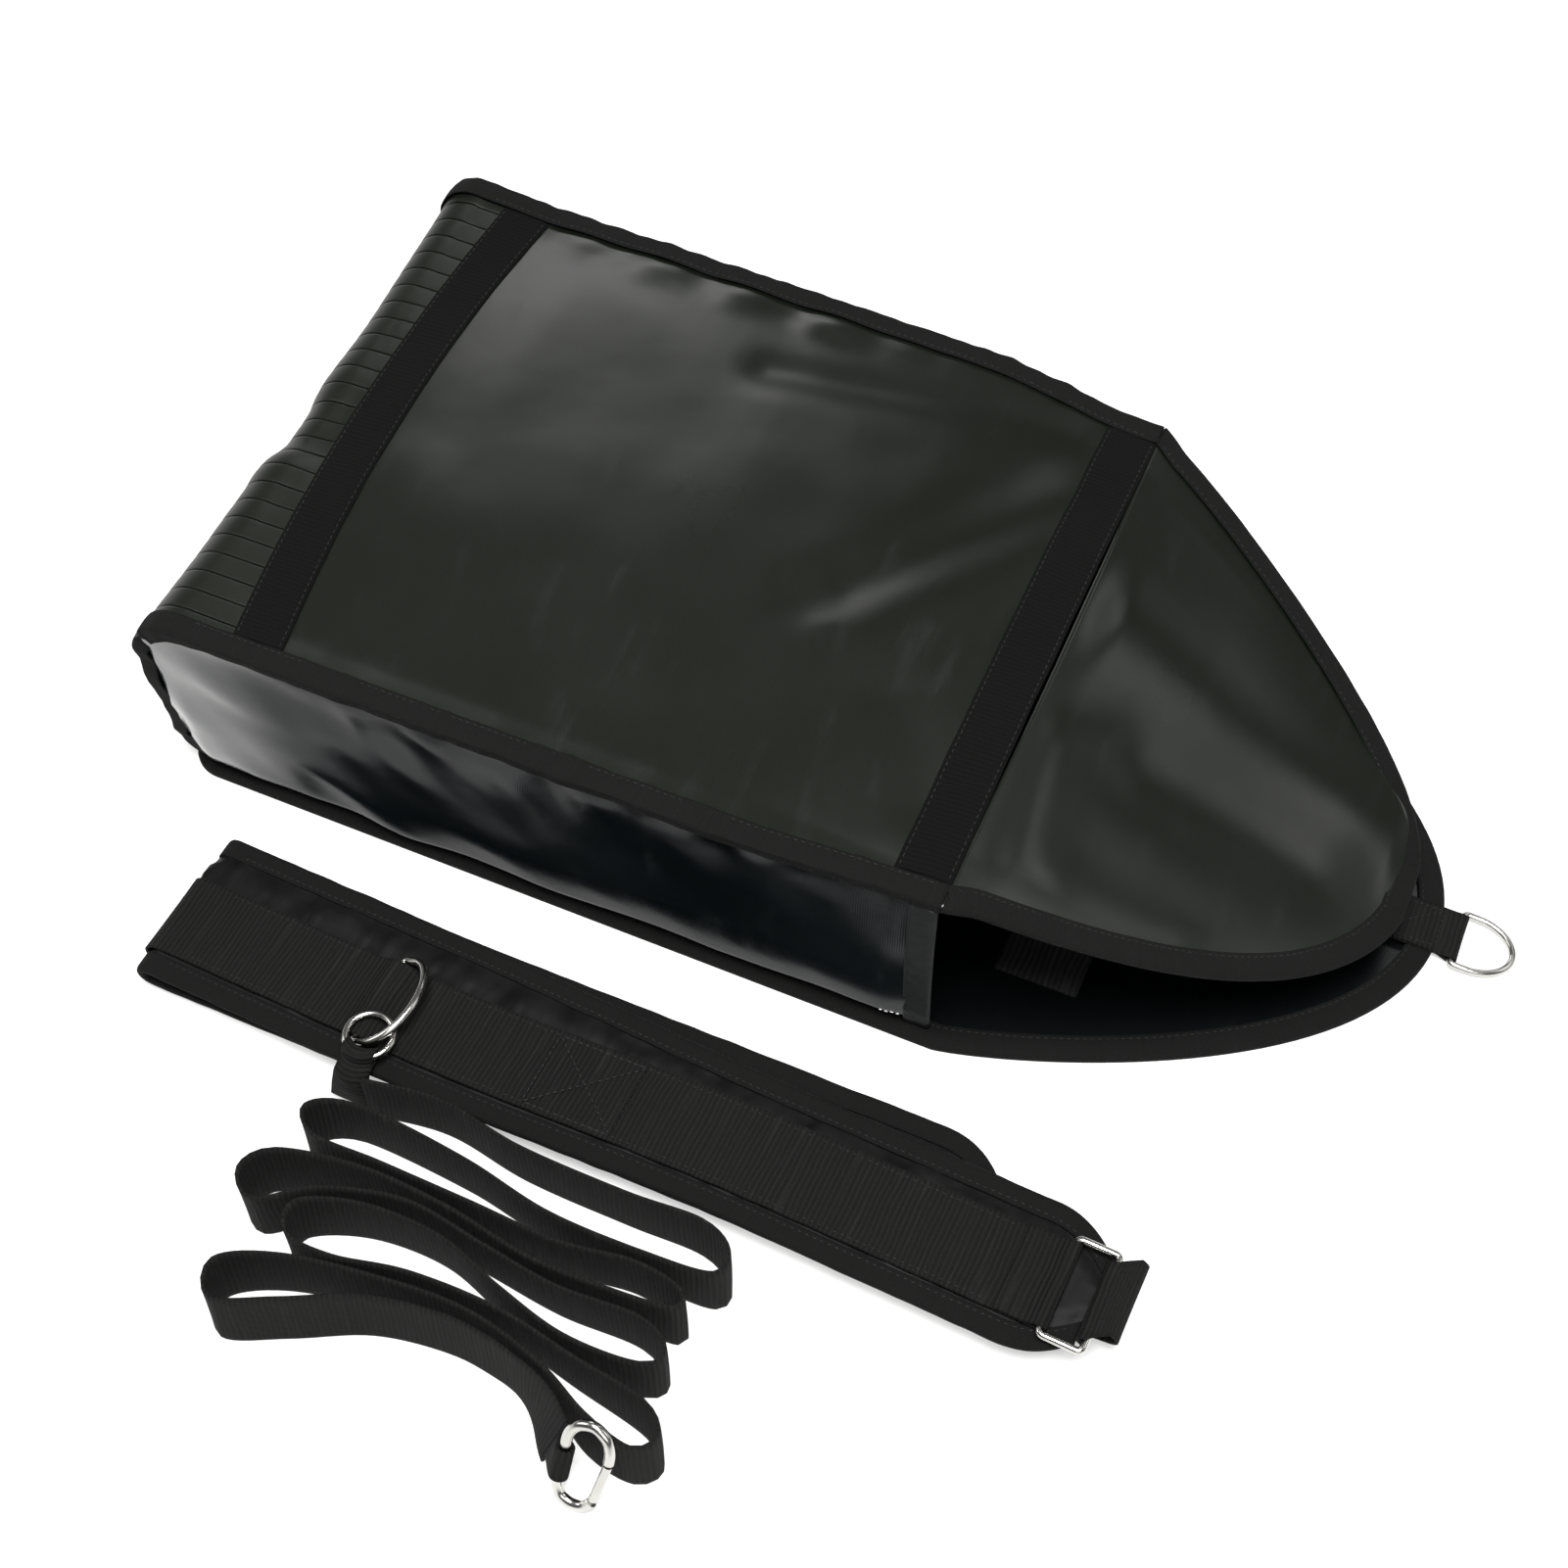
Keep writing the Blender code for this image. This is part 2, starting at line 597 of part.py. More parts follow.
def build_side(label, side):
    """One side wall, with the folded hem on its front edge."""
    foot = SHELL_FOOT
    under_top = PANEL_SINK + PANEL_THICK / 2 + SEAM
    front = MOUTH_X - HEM_THICK - 2 * TOUCH
    side_y = MID_Y + side * TOP_WIDTH / 2

    lower, upper = HEEL_RADIUS - under_top, SHOULDER_RADIUS - under_top
    bend = REAR_WALL_X + HEEL_RADIUS, foot + HEEL_RADIUS
    curve = [(bend[0] + SEAM, foot)] + arc(bend, lower, 270, 180, 5)
    bend = REAR_WALL_X + SHOULDER_RADIUS, BAG_HEIGHT - SHOULDER_RADIUS
    curve += [((curve[-1][0] + bend[0] - upper) / 2, (curve[-1][1] + bend[1]) / 2)]
    curve += arc(bend, upper, 180, 90, 5)
    rows = len(curve) - 1
    height = curve[-1][1] - foot

    def wall(s, t):
        rear, level = curve[round(t * rows)]
        x = rear + (front - rear) * s
        z = foot + (level - foot) * (edge_height(x) - under_top - foot) / height
        return x, wall_y(x, z, side), z + far_lift(x, side_y, z)

    sheet(f"side_gusset_{label}", SHEET_ALONG, rows, wall, GUSSET_THICK, "glossy_pvc")
    sections = []
    inner = GUSSET_THICK / 2 + SEAM
    outer = inner + HEM_THICK
    rear = MOUTH_X - HEM_WIDTH
    slot = MOUTH_X - HEM_THICK
    fold = ((MOUTH_X, -outer), (rear, -outer), (rear, -inner), (slot, -inner),
            (slot, inner), (rear, inner), (rear, outer), (MOUTH_X, outer))
    top = edge_height(MOUTH_X) - TOP_TAPE_LEG - SEAM
    for i in range(8):
        z = foot + (top - foot) * i / 7
        sections.append([(x, wall_y(x, z, side) + b, z) for x, b in fold])
    loft(f"mouth_hem_{label}", sections, "glossy_pvc")


def flap_droop(t):
    """The flap's middle line (x, z), from its seam down to its tip."""
    start = Vector((MOUTH_X + FLAP_SEAM, FLAP_START_Z))
    end = Vector((FLAP_TIP_X - FLAP_TIP_BLUNT, FLAP_TIP_HEIGHT))
    run = end - start
    sag = [start + Vector((run.x * along, run.y * down)) for along, down in FLAP_SAG]
    return bezier((start, *sag, end), t)


def flap_point(t, w, rise=0.0):
    """A point of the flap: t from the hinge to the tip, w from -1 to 1 across."""
    x, z = flap_droop(t)
    half = bow_half(x, FLAP_BOW_X, FLAP_TIP_X, FLAP_HALF_WIDTH)
    half -= TAPE_THICK + 2 * TOUCH
    return Vector((x, MID_Y + w * half, z + rise))


def flap_bulge(t, w):
    """How far the flap rises over its edges: it follows the top's crown and flattens downward."""
    return TOP_CROWN * (1 - min(abs(w) / 0.8, 1.0) ** 2) * (1 - ease(t / 0.7))


def flap_normal(t):
    """The flap's upward normal at t."""
    step = 0.01
    a, b = flap_droop(max(t - step, 0.0)), flap_droop(min(t + step, 1.0))
    along = (b - a).normalized()
    return Vector((-along.y, 0.0, along.x))


def build_flap():
    """The drooping nose flap, the tape round its free edge and its hidden hook strip."""

    def flap_shape(s, t):
        w = 2 * t - 1
        down = math.sin(math.pi / 2 * s)
        return flap_point(down, w, flap_bulge(down, w))

    sheet("front_flap", SHEET_ALONG, SHEET_ACROSS, flap_shape, PANEL_THICK, "tarpaulin", FLAP,
          location=FLAP_SPOT)

    downs = [math.sin(math.pi / 2 * i / SHEET_ALONG) for i in range(SHEET_ALONG + 1)]
    edge = [(t, -1.0) for t in downs] + [(1.0, -0.4), (1.0, 0.4)] + [(t, 1.0) for t in downs[::-1]]
    ring = [flap_point(t, w) for t, w in edge]
    normals = [flap_normal(t) for t, _ in edge]
    slot = PANEL_THICK / 2 + SEAM
    skin = slot + TAPE_THICK
    fold = ((0.0, -skin), (TAPE_WIDTH, -skin), (TAPE_WIDTH, -slot), (TAPE_THICK, -slot),
            (TAPE_THICK, slot), (TAPE_WIDTH, slot), (TAPE_WIDTH, skin), (0.0, skin))
    sections = []
    for i, point in enumerate(ring):
        along = (ring[min(i + 1, len(ring) - 1)] - ring[max(i - 1, 0)]).normalized()
        inward = normals[i].cross(along).normalized()
        if i in (0, len(ring) - 1):
            inward = Vector((0.0, MID_Y - point.y, 0.0)).normalized()
        corner = point - inward * (TAPE_THICK + 2 * TOUCH)
        sections.append([corner + inward * a + normals[i] * b for a, b in fold])
    loft("flap_binding", sections, "binding", FLAP, location=FLAP_SPOT)

    def hook_shape(s, t):
        down = HOOK_STRIP_ALONG[0] + (HOOK_STRIP_ALONG[1] - HOOK_STRIP_ALONG[0]) * s
        point = flap_point(down, 0.0)
        w = (2 * t - 1) * HOOK_HALF_SPAN / (bow_half(point.x, FLAP_BOW_X, FLAP_TIP_X,
                                                     FLAP_HALF_WIDTH))
        sink = PANEL_THICK / 2 + SEAM + CLOSURE_THICK / 2
        return flap_point(down, w, flap_bulge(down, w)) - flap_normal(down) * sink

    sheet("closure_hook_strip", 4, 8, hook_shape, CLOSURE_THICK, "webbing", FLAP,
          location=FLAP_SPOT)

    def loop_shape(s, t):
        x = CLOSURE_X + (s - 0.5) * CLOSURE_WIDTH
        y = MID_Y + (2 * t - 1) * CLOSURE_HALF_SPAN
        return x, y, FLOOR_THICK + TOUCH + CLOSURE_THICK / 2

    sheet("closure_loop_strip", 1, 6, loop_shape, CLOSURE_THICK, "webbing")


def ring_points(half, depth, corner):
    """A D-shaped ring's centre line: bar along y at x = 0, bow towards +x."""
    straight = depth * RING_STRAIGHT
    points = [(0.0, -half + corner), (0.0, 0.0), (0.0, half - corner)]
    points += arc((corner, half - corner), corner, 180, 90, 4)[1:]
    bow = [(straight + (depth - straight) * math.cos(math.radians(a)),
            half * math.sin(math.radians(a)))
           for a in range(RING_BOW_ANGLE, -RING_BOW_ANGLE - 1, -RING_BOW_STEP)]
    points += bow
    points += arc((corner, -half + corner), corner, 270, 180, 4)[:-1]
    return [(x, y, 0.0) for x, y in points]


def build_nose_ring():
    """The towing tab at the nose and the ring in its fold."""
    level = FLOOR_TAPE_TOP + TOUCH + TAB_WEB_THICK / 2
    turn = NOSE_RING_WIRE / 2 + TOUCH + TAB_WEB_THICK / 2
    upper = level + TAB_WEB_THICK + TOUCH
    neck = TAB_RING_X - TAB_NECK
    path = [(TAB_REAR_X, level), (neck, level), (neck + TAB_NECK_RUN, level - TAB_NECK_DROP)]
    path += arc((TAB_RING_X, NOSE_RING_Z), turn, 235, 450, 11)
    path += [(neck + TAB_NECK_RUN, upper - TOUCH), (neck, upper), (TAB_REAR_X + TAB_STEP, upper)]
    strip("nose_tab", path, TAB_WEB_THICK, TAB_WIDTH, "webbing", mid_y=MID_Y)
    wire("nose_d_ring", ring_points(NOSE_RING_HALF, NOSE_RING_DEPTH, RING_CORNER), NOSE_RING_WIRE,
         "steel", closed=True, location=(TAB_RING_X, MID_Y, NOSE_RING_Z),
         rotation=(0.0, math.radians(NOSE_RING_REST), 0.0))


BELT_TURN = (BELT_PAD_THICK + BELT_GAP) / 2
WEB_FLOOR = TOUCH
BELT_BACK_Z = WEB_FLOOR + WEB_THICK + TOUCH + BELT_PAD_THICK / 2
BELT_TOP_Z = BELT_BACK_Z + 2 * BELT_TURN
BELT_TURN_X = BELT_TURN + BELT_PAD_THICK / 2 + WEB_THICK + 2 * TOUCH


def belt_path():
    """The pad's centre line (x, z, outward normal), from the ring end round the fold."""
    path = []
    for i in range(5):
        path.append((BELT_TOP_END_X - BELT_END_ROUND * i / 4, BELT_TOP_Z, (0.0, 1.0)))
    last = BELT_TOP_END_X - BELT_END_ROUND
    path += [(x, BELT_TOP_Z, (0.0, 1.0)) for x in spaced(last, BELT_TURN_X, BELT_STATIONS)]
    middle = BELT_BACK_Z + BELT_TURN
    for x, z in arc((BELT_TURN_X, middle), BELT_TURN, 90, 270):
        path.append((x, z, ((x - BELT_TURN_X) / BELT_TURN, (z - middle) / BELT_TURN)))
    first = BELT_BACK_END_X - BELT_END_ROUND
    path += [(x, BELT_BACK_Z, (0.0, -1.0)) for x in spaced(BELT_TURN_X, first, BELT_STATIONS)]
    for i in range(5):
        end_x = BELT_BACK_END_X - BELT_END_ROUND * (4 - i) / 4
        path.append((end_x, BELT_BACK_Z, (0.0, -1.0)))
    return path


def back_shift(x, z):
    """How far the belt's lower layer has slid to the far side of the upper one."""
    return BELT_BACK_SKEW * x * ease((BELT_TOP_Z - z) / (BELT_TOP_Z - BELT_BACK_Z))


def top_share(x, z):
    """How far along its bend a place on the belt's upper layer is: 0 anywhere on the lower one."""
    upward = ease((z - BELT_BACK_Z) / (BELT_TOP_Z - BELT_BACK_Z))
    return upward * ease((x - BELT_BEND_START_X) / (BELT_BEND_END_X - BELT_BEND_START_X))


def pad_shift(x, z):
    """Where the pad's middle lies across the belt."""
    return back_shift(x, z) + BELT_TOP_SHIFT * top_share(x, z)


def web_shift(x, z):
    """How far the webbing's middle has moved from its line at the back of the belt."""
    return back_shift(x, z) + BELT_WEB_SHIFT * top_share(x, z)


def belt_half(x, z):
    """Half the pad's width: its edges curl under, and it is drawn in to a rounded end."""
    end = BELT_TOP_END_X if z > BELT_BACK_Z + BELT_TURN else BELT_BACK_END_X
    share = min(max((x - (end - BELT_END_ROUND)) / BELT_END_ROUND, 0.0), 1.0)
    taper = BELT_END_TAPER * share ** BELT_TAPER_POWER
    return BELT_HALF_WIDTH - BELT_CURL * top_share(x, z) - taper


def build_belt_pad():
    """The padded band, folded back on itself, and the tape on its two long edges."""
    edge, full = BELT_EDGE_THICK / 2, BELT_PAD_THICK / 2
    pad, tapes = [], {"near": [], "far": []}
    slot = edge + TOUCH
    skin = slot + TAPE_THICK
    for x, z, normal in belt_path():
        out = Vector((normal[0], 0.0, normal[1]))
        centre = Vector((x, pad_shift(x, z), z))
        half = belt_half(x, z) - TAPE_THICK - 2 * TOUCH
        flat = half - BELT_EDGE_WIDTH
        side = [(half, edge), (flat, edge), (flat - BELT_ROLL[0], full * BELT_ROLL_SHARE),
                (flat - BELT_ROLL[1], full)]
        upper = [(-y, b) for y, b in side] + side[::-1]
        shape = upper + [(y, -b) for y, b in reversed(upper)]
        pad.append([centre + Vector((0.0, y, 0.0)) + out * b for y, b in shape])
        for label, side in (("near", -1), ("far", 1)):
            rim = half + TAPE_THICK + 2 * TOUCH
            inner = rim - BELT_EDGE_WIDTH - TAPE_THICK
            fold = ((rim, -skin), (inner, -skin), (inner, -slot), (rim - TAPE_THICK, -slot),
                    (rim - TAPE_THICK, slot), (inner, slot), (inner, skin), (rim, skin))
            tapes[label].append([centre + Vector((0.0, side * y, 0.0)) + out * b for y, b in fold])
    loft("belt_pad", pad, "padding", BELT)
    loft("belt_binding_near", tapes["near"], "binding", BELT)
    loft("belt_binding_far", tapes["far"], "binding", BELT)


WEB_TOP_Z = BELT_TOP_Z + BELT_PAD_THICK / 2 + TOUCH + WEB_THICK / 2
WEB_BACK_Z = WEB_FLOOR + WEB_THICK / 2
BELT_RING_Z = BELT_TOP_Z + BELT_PAD_THICK / 2 + TOUCH + BELT_RING_WIRE / 2
END_TURN = END_RING_WIRE / 2 + TOUCH + WEB_THICK / 2
END_RING_Z = WEB_TOP_Z + END_TURN


def build_belt_webbing():
    """The belt's webbing: folded round the end ring, over the D-ring's bar and round the fold."""
    fold_z = WEB_TOP_Z + WEB_THICK + TOUCH
    over_bar = BELT_RING_Z + BELT_RING_WIRE / 2 + TOUCH + WEB_THICK / 2
    path = [(BELT_FOLDED_END_X, fold_z)]
    path += [(END_RING_X - back, fold_z + rise) for back, rise in END_NECK]
    path += arc((END_RING_X, END_RING_Z), END_TURN, 125, -90, 11)
    outer, foot, crest = BAR_HUMP
    path += [(x, WEB_TOP_Z) for x in spaced(END_RING_X, BELT_RING_X + outer, BELT_STATIONS)]
    hump = [(outer, WEB_TOP_Z), (foot, WEB_TOP_Z + BAR_HUMP_RISE), (crest, over_bar - TOUCH)]
    path += [(BELT_RING_X + x, z) for x, z in hump]
    path += [(BELT_RING_X - x, z) for x, z in reversed(hump)]
    path += [(x, WEB_TOP_Z) for x in spaced(BELT_RING_X - outer, BELT_TURN_X, 2)]
    turn = (WEB_TOP_Z - WEB_BACK_Z) / 2
    path += arc((BELT_TURN_X, WEB_BACK_Z + turn), turn, 90, 270, 13)
    end = BELT_BACK_END_X - BELT_WEB_INSET
    path += [(x, WEB_BACK_Z) for x in [*spaced(BELT_TURN_X, end, BELT_STATIONS), end]]
    strip("belt_webbing", path, WEB_THICK, BELT_WEB_WIDTH, "webbing", BELT, BELT_WEB_Y, web_shift)


def build_closing_strap():
    """The closing strap: from the back pad's end up to its fold, and loosely round the end ring."""
    bar = Vector((END_RING_X + END_RING_LENGTH, END_RING_Z))
    bend = Vector((CLOSING_BEND_X, CLOSING_BEND_Z))
    round_bar = END_TURN + CLOSING_SLACK
    lean = math.degrees(math.atan2(bend.x - bar.x, bar.y - bend.y))
    climb = math.degrees(math.atan2(bend.y - CLOSING_BEND_RADIUS - WEB_BACK_Z,
                                    bend.x - CLOSING_RISE_X))
    start = BELT_BACK_END_X - BELT_WEB_INSET + TOUCH
    path = [(start, WEB_BACK_Z), (CLOSING_RISE_X, WEB_BACK_Z)]
    path += arc(bend, CLOSING_BEND_RADIUS, -90 + climb, lean, 9)
    over = arc(bar, round_bar, lean, lean + CLOSING_WRAP, 9)
    path += over + [(over[-1][0] + CLOSING_TAIL[0], over[-1][1] + CLOSING_TAIL[1])]
    low, high = back_shift(BELT_BACK_END_X, BELT_BACK_Z), BELT_WEB_SHIFT

    def shift(x, z):
        if z < bend.y:
            return low
        return high + (low - high) * min(max((x - bar.x) / (bend.x - bar.x), 0.0), 1.0)

    strip("belt_closing_strap", path, WEB_THICK, CLOSING_WIDTH, "webbing", BELT, BELT_WEB_Y, shift)


def build_belt_rings():
    """The D-ring at the back of the belt and the oblong ring at its end."""
    wire("belt_d_ring", ring_points(BELT_RING_HALF, BELT_RING_DEPTH, RING_CORNER), BELT_RING_WIRE,
         "steel", BELT, closed=True, location=(BELT_RING_X, BELT_WEB_Y, BELT_RING_Z),
         rotation=(0.0, math.radians(-BELT_RING_REST), 0.0))
    half, long, r = END_RING_HALF, END_RING_LENGTH, RING_CORNER
    loop = [(0.0, 0.0)] + arc((r, half - r), r, 180, 90, 4) + arc((long - r, half - r), r, 90, 0, 4)
    loop += [(long, 0.0)] + arc((long - r, r - half), r, 0, -90, 4)
    loop += arc((r, r - half), r, 270, 180, 4)
    wire("belt_end_ring", [(x, y, 0.0) for x, y in loop], END_RING_WIRE, "steel", BELT,
         closed=True, location=(END_RING_X, BELT_WEB_Y + BELT_WEB_SHIFT, END_RING_Z))


def strap_stations():
    """Each station of the pull strap: its middle, its direction in plan and its width direction."""
    line = smooth_curve([Vector(p) for p in STRAP_ROUTE], STRAP_STEP)
    lengths = [0.0]
    for a, b in zip(line, line[1:]):
        lengths.append(lengths[-1] + (b - a).xy.length)
    end_width = Vector(STRAP_END_WIDTH).normalized()
    stations = []
    for i, point in enumerate(line):
        along = (line[min(i + 1, len(line) - 1)] - line[max(i - 1, 0)]).xy.normalized()
        lean = math.radians(point.z)
        stand = Vector((STRAP_AWAY[0] * math.sin(lean), STRAP_AWAY[1] * math.sin(lean),
                        math.cos(lean)))
        twist = ease(1 - (lengths[-1] - lengths[i]) / STRAP_TWIST_LENGTH)
        width = stand.lerp(end_width, twist).normalized()
        height = STRAP_FLOOR_GAP + width.z * STRAP_WIDTH / 2 + STRAP_THICK * math.sin(lean)
        stations.append((Vector((point.x, point.y, height)), along.to_3d(), width))
    return stations


def build_pull_strap():
    """The folded pull strap, which stands on its lower edge."""
    sections = []
    for middle, along, width in strap_stations():
        normal = width.cross(along).normalized() * STRAP_THICK / 2
        a = width * STRAP_WIDTH / 2
        sections.append([middle - a - normal, middle + a - normal,
                         middle + a + normal, middle - a + normal])
    loft("pull_strap", sections, "webbing")


def band(name, stations, material, frame=LAYOUT):
    """A webbing band through stations of (middle, half width vector, normal)."""
    sections = []
    for middle, half, normal in stations:
        b = normal.normalized() * STRAP_THICK / 2
        sections.append([middle - half - b, middle - b, middle + half - b,
                         middle + half + b, middle + b, middle - half + b])
    loft(name, sections, material, frame)


def build_strap_ring():
    """The round ring through the belt's D-ring, and the sewn loop that holds it."""
    circle = [(x, y, 0.0) for x, y in arc((0.0, 0.0), STRAP_RING_RADIUS, 0, 345, 24)]
    x0, y0, z0 = STRAP_RING_CENTRE
    wire("strap_ring", circle, STRAP_RING_WIRE, "steel", closed=True,
         location=STRAP_RING_CENTRE)
    low = Vector((y0 - STRAP_RING_RADIUS, z0))
    foot_x, foot_y = RING_LOOP_FOOT
    narrow, wide = (w / 2 for w in RING_LOOP_WIDTHS)
    bow = STRAP_RING_RADIUS - math.sqrt(STRAP_RING_RADIUS ** 2 - narrow ** 2)
    turn = STRAP_RING_WIRE / 2 + STRAP_THICK / 2 + SEAM + bow / 2
    over = arc((low.x + bow / 2, low.y), turn, 200, -90, 15)
    outline = [(foot_y + y, z) for y, z in RING_LOOP_RISE] + over
    outline += [(foot_y + y, z) for y, z in RING_LOOP_FALL]
    stations = []
    for i, (y, z) in enumerate(outline):
        a, b = outline[max(i - 1, 0)], outline[min(i + 1, len(outline) - 1)]
        share = ease(z / low.y)
        half = wide + (narrow - wide) * share
        middle = Vector((foot_x + (x0 - foot_x) * share, y, z))
        along = Vector((0.0, b[0] - a[0], b[1] - a[1]))
        stations.append((middle, Vector((half, 0.0, 0.0)), along.cross(Vector((1.0, 0.0, 0.0)))))
    band("strap_ring_loop", stations, "webbing")


def build_carabiner():
    """The hook at the strap's free end: body, sprung gate and the strap's sewn loop."""
    body = smooth_curve([Vector((x - HOOK_BAR_X, y, 0.0)) for x, y in HOOK_BODY], HOOK_STEP)
    wire("carabiner_body", body, HOOK_WIRE, "steel", HOOK, location=(HOOK_BAR_X, 0.0, 0.0))
    hinge, nose = (Vector((x, y, 0.0)) for x, y in HOOK_GATE_ENDS)
    wire("carabiner_gate", [Vector((0, 0, 0)), nose - hinge], HOOK_GATE_WIRE, "steel", HOOK,
         location=hinge)
    turned = Matrix.Rotation(math.radians(HOOK_YAW), 3, "Z")
    turned = turned @ Matrix.Rotation(math.radians(HOOK_TILT), 3, "X")
    end, _, end_width = strap_stations()[-1]
    end = turned.transposed() @ (end - Vector(HOOK_CENTRE))
    end_width = turned.transposed() @ end_width
    bar = Vector((HOOK_BAR_X, end.y, 0.0))
    toward = (bar - end).normalized()
    start = end + toward * (STRAP_THICK / 2 + TOUCH)
    up = Vector((-toward.z, 0.0, toward.x)).normalized()
    turn = HOOK_WIRE / 2 + SEAM + STRAP_THICK / 2
    narrow, wide = (w / 2 for w in HOOK_LOOP_WIDTHS)
    bar_width = Vector((0.0, 1.0, 0.0))
    leaf = STRAP_THICK / 2 + TOUCH
    stations = [(start + up * leaf, end_width * wide, up)]
    for i in range(ARC_POINTS):
        angle = math.pi * i / (ARC_POINTS - 1)
        out = up * math.cos(angle) + toward * math.sin(angle)
        stations.append((bar + out * turn, bar_width * narrow, out))
    stations.append((start - up * leaf, end_width * wide, -up))
    band("carabiner_loop", stations, "webbing", HOOK)


def main():
    """Build every piece."""
    build_floor()
    build_rear_and_top()
    build_cross_straps()
    for label, side in (("near", -1), ("far", 1)):
        build_side(label, side)
        build_edge_tapes(label, side)
    build_flap()
    build_nose_ring()
    build_belt_pad()
    build_belt_webbing()
    build_closing_strap()
    build_belt_rings()
    build_pull_strap()
    build_strap_ring()
    build_carabiner()


main()
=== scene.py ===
"""Looks of the weight sled: a tarpaulin drag bag, its padded waist belt and its folded pull strap.

Lengths are metres. The bag's shapes are worked out in the bag's own frame, with x from the rear
wall to the nose, y from the near side to the far side and z up from the floor. The belt and the
hook have frames of their own, and each finished mesh is moved into the row frame.
"""

import logging
import math
from dataclasses import dataclass
from enum import Enum
from typing import Any, Callable, Mapping, Sequence

import bmesh
import bpy
from mathutils import Matrix, Vector, noise


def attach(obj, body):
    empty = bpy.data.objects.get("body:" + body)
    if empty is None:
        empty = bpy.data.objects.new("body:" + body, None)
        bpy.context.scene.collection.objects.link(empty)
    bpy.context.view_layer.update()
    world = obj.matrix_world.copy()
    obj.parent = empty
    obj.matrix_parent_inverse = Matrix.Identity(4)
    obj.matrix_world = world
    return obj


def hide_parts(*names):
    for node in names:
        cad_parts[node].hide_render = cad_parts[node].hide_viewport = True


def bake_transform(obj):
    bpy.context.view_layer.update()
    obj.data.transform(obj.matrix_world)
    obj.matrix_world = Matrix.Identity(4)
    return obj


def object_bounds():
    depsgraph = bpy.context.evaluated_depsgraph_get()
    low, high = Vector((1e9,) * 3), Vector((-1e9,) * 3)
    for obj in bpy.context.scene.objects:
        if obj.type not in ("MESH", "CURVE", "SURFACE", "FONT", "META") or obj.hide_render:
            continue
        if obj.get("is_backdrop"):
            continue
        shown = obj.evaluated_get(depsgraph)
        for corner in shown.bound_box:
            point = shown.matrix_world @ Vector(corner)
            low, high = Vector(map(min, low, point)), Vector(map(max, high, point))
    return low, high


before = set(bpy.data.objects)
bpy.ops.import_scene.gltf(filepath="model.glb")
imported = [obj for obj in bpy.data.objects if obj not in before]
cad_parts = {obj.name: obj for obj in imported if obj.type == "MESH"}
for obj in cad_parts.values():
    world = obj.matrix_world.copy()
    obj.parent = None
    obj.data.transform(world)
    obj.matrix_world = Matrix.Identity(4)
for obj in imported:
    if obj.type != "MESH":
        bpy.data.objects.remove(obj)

LOG = logging.getLogger("weight_sled")

Shape = Callable[[float, float], Vector]
Colour = tuple[float, float, float]

BAG_PLACE = Matrix.Translation((-0.3765, -0.1092, 0.0))
BELT_PLACE = BAG_PLACE @ Matrix.Translation((0.056, -0.0890, 0.0)) @ Matrix.Rotation(
    math.radians(-2.1), 4, "Z")
HOOK_CENTRE = Vector((0.4079, -0.2852, 0.0251))
HOOK_TURN = (Matrix.Rotation(math.radians(-1.9), 4, "Z")
             @ Matrix.Rotation(math.radians(58.0), 4, "X"))
HOOK_PLACE = BAG_PLACE @ Matrix.Translation(HOOK_CENTRE) @ HOOK_TURN

TOUCH = 0.0003
SEAM = 0.0008
STITCH_INSET = 0.0022
SHARP_EDGE = math.radians(50)
UP = Vector((0.0, 0.0, 1.0))
WHITE = (1.0, 1.0, 1.0, 1.0)


class Wrap(Enum):
    """Which ways a grid closes on itself."""

    OPEN = "open"
    LOOP = "loop"
    ACROSS = "across"
    BOTH = "both"


class Slot(Enum):
    """Names of the material slots."""

    TARPAULIN = "tarpaulin"
    GLOSSY = "glossy_pvc"
    WEBBING = "webbing"
    BINDING = "binding"
    PADDING = "padding"
    STEEL = "steel"


class Signal:
    """A shader socket that takes part in arithmetic."""

    def __init__(self, kit: "NodeKit", socket: bpy.types.NodeSocket) -> None:
        self.kit = kit
        self.socket = socket

    def __add__(self, other: "Signal | float") -> "Signal":
        """Sum."""
        return self.kit.maths("ADD", self, other)

    __radd__ = __add__

    def __sub__(self, other: "Signal | float") -> "Signal":
        """Difference."""
        return self.kit.maths("SUBTRACT", self, other)

    def __rsub__(self, other: "Signal | float") -> "Signal":
        """Difference from a number."""
        return self.kit.maths("SUBTRACT", other, self)

    def __mul__(self, other: "Signal | float") -> "Signal":
        """Product."""
        return self.kit.maths("MULTIPLY", self, other)

    __rmul__ = __mul__

    def largest(self, other: "Signal | float") -> "Signal":
        """The greater of the two."""
        return self.kit.maths("MAXIMUM", self, other)

    def wave(self, pitch: float) -> "Signal":
        """A smooth wave from 0 to 1 with this pitch in metres."""
        turned = self.kit.maths("SINE", self * (2 * math.pi / pitch))
        return turned * 0.5 + 0.5

    def between(self, low: float, high: float) -> "Signal":
        """This, stretched so that low becomes 0 and high 1, and clamped."""
        made = self.kit.node("MapRange", {"Value": self, "From Min": low, "From Max": high},
                             interpolation_type="SMOOTHSTEP")
        return Signal(self.kit, made.outputs[0])


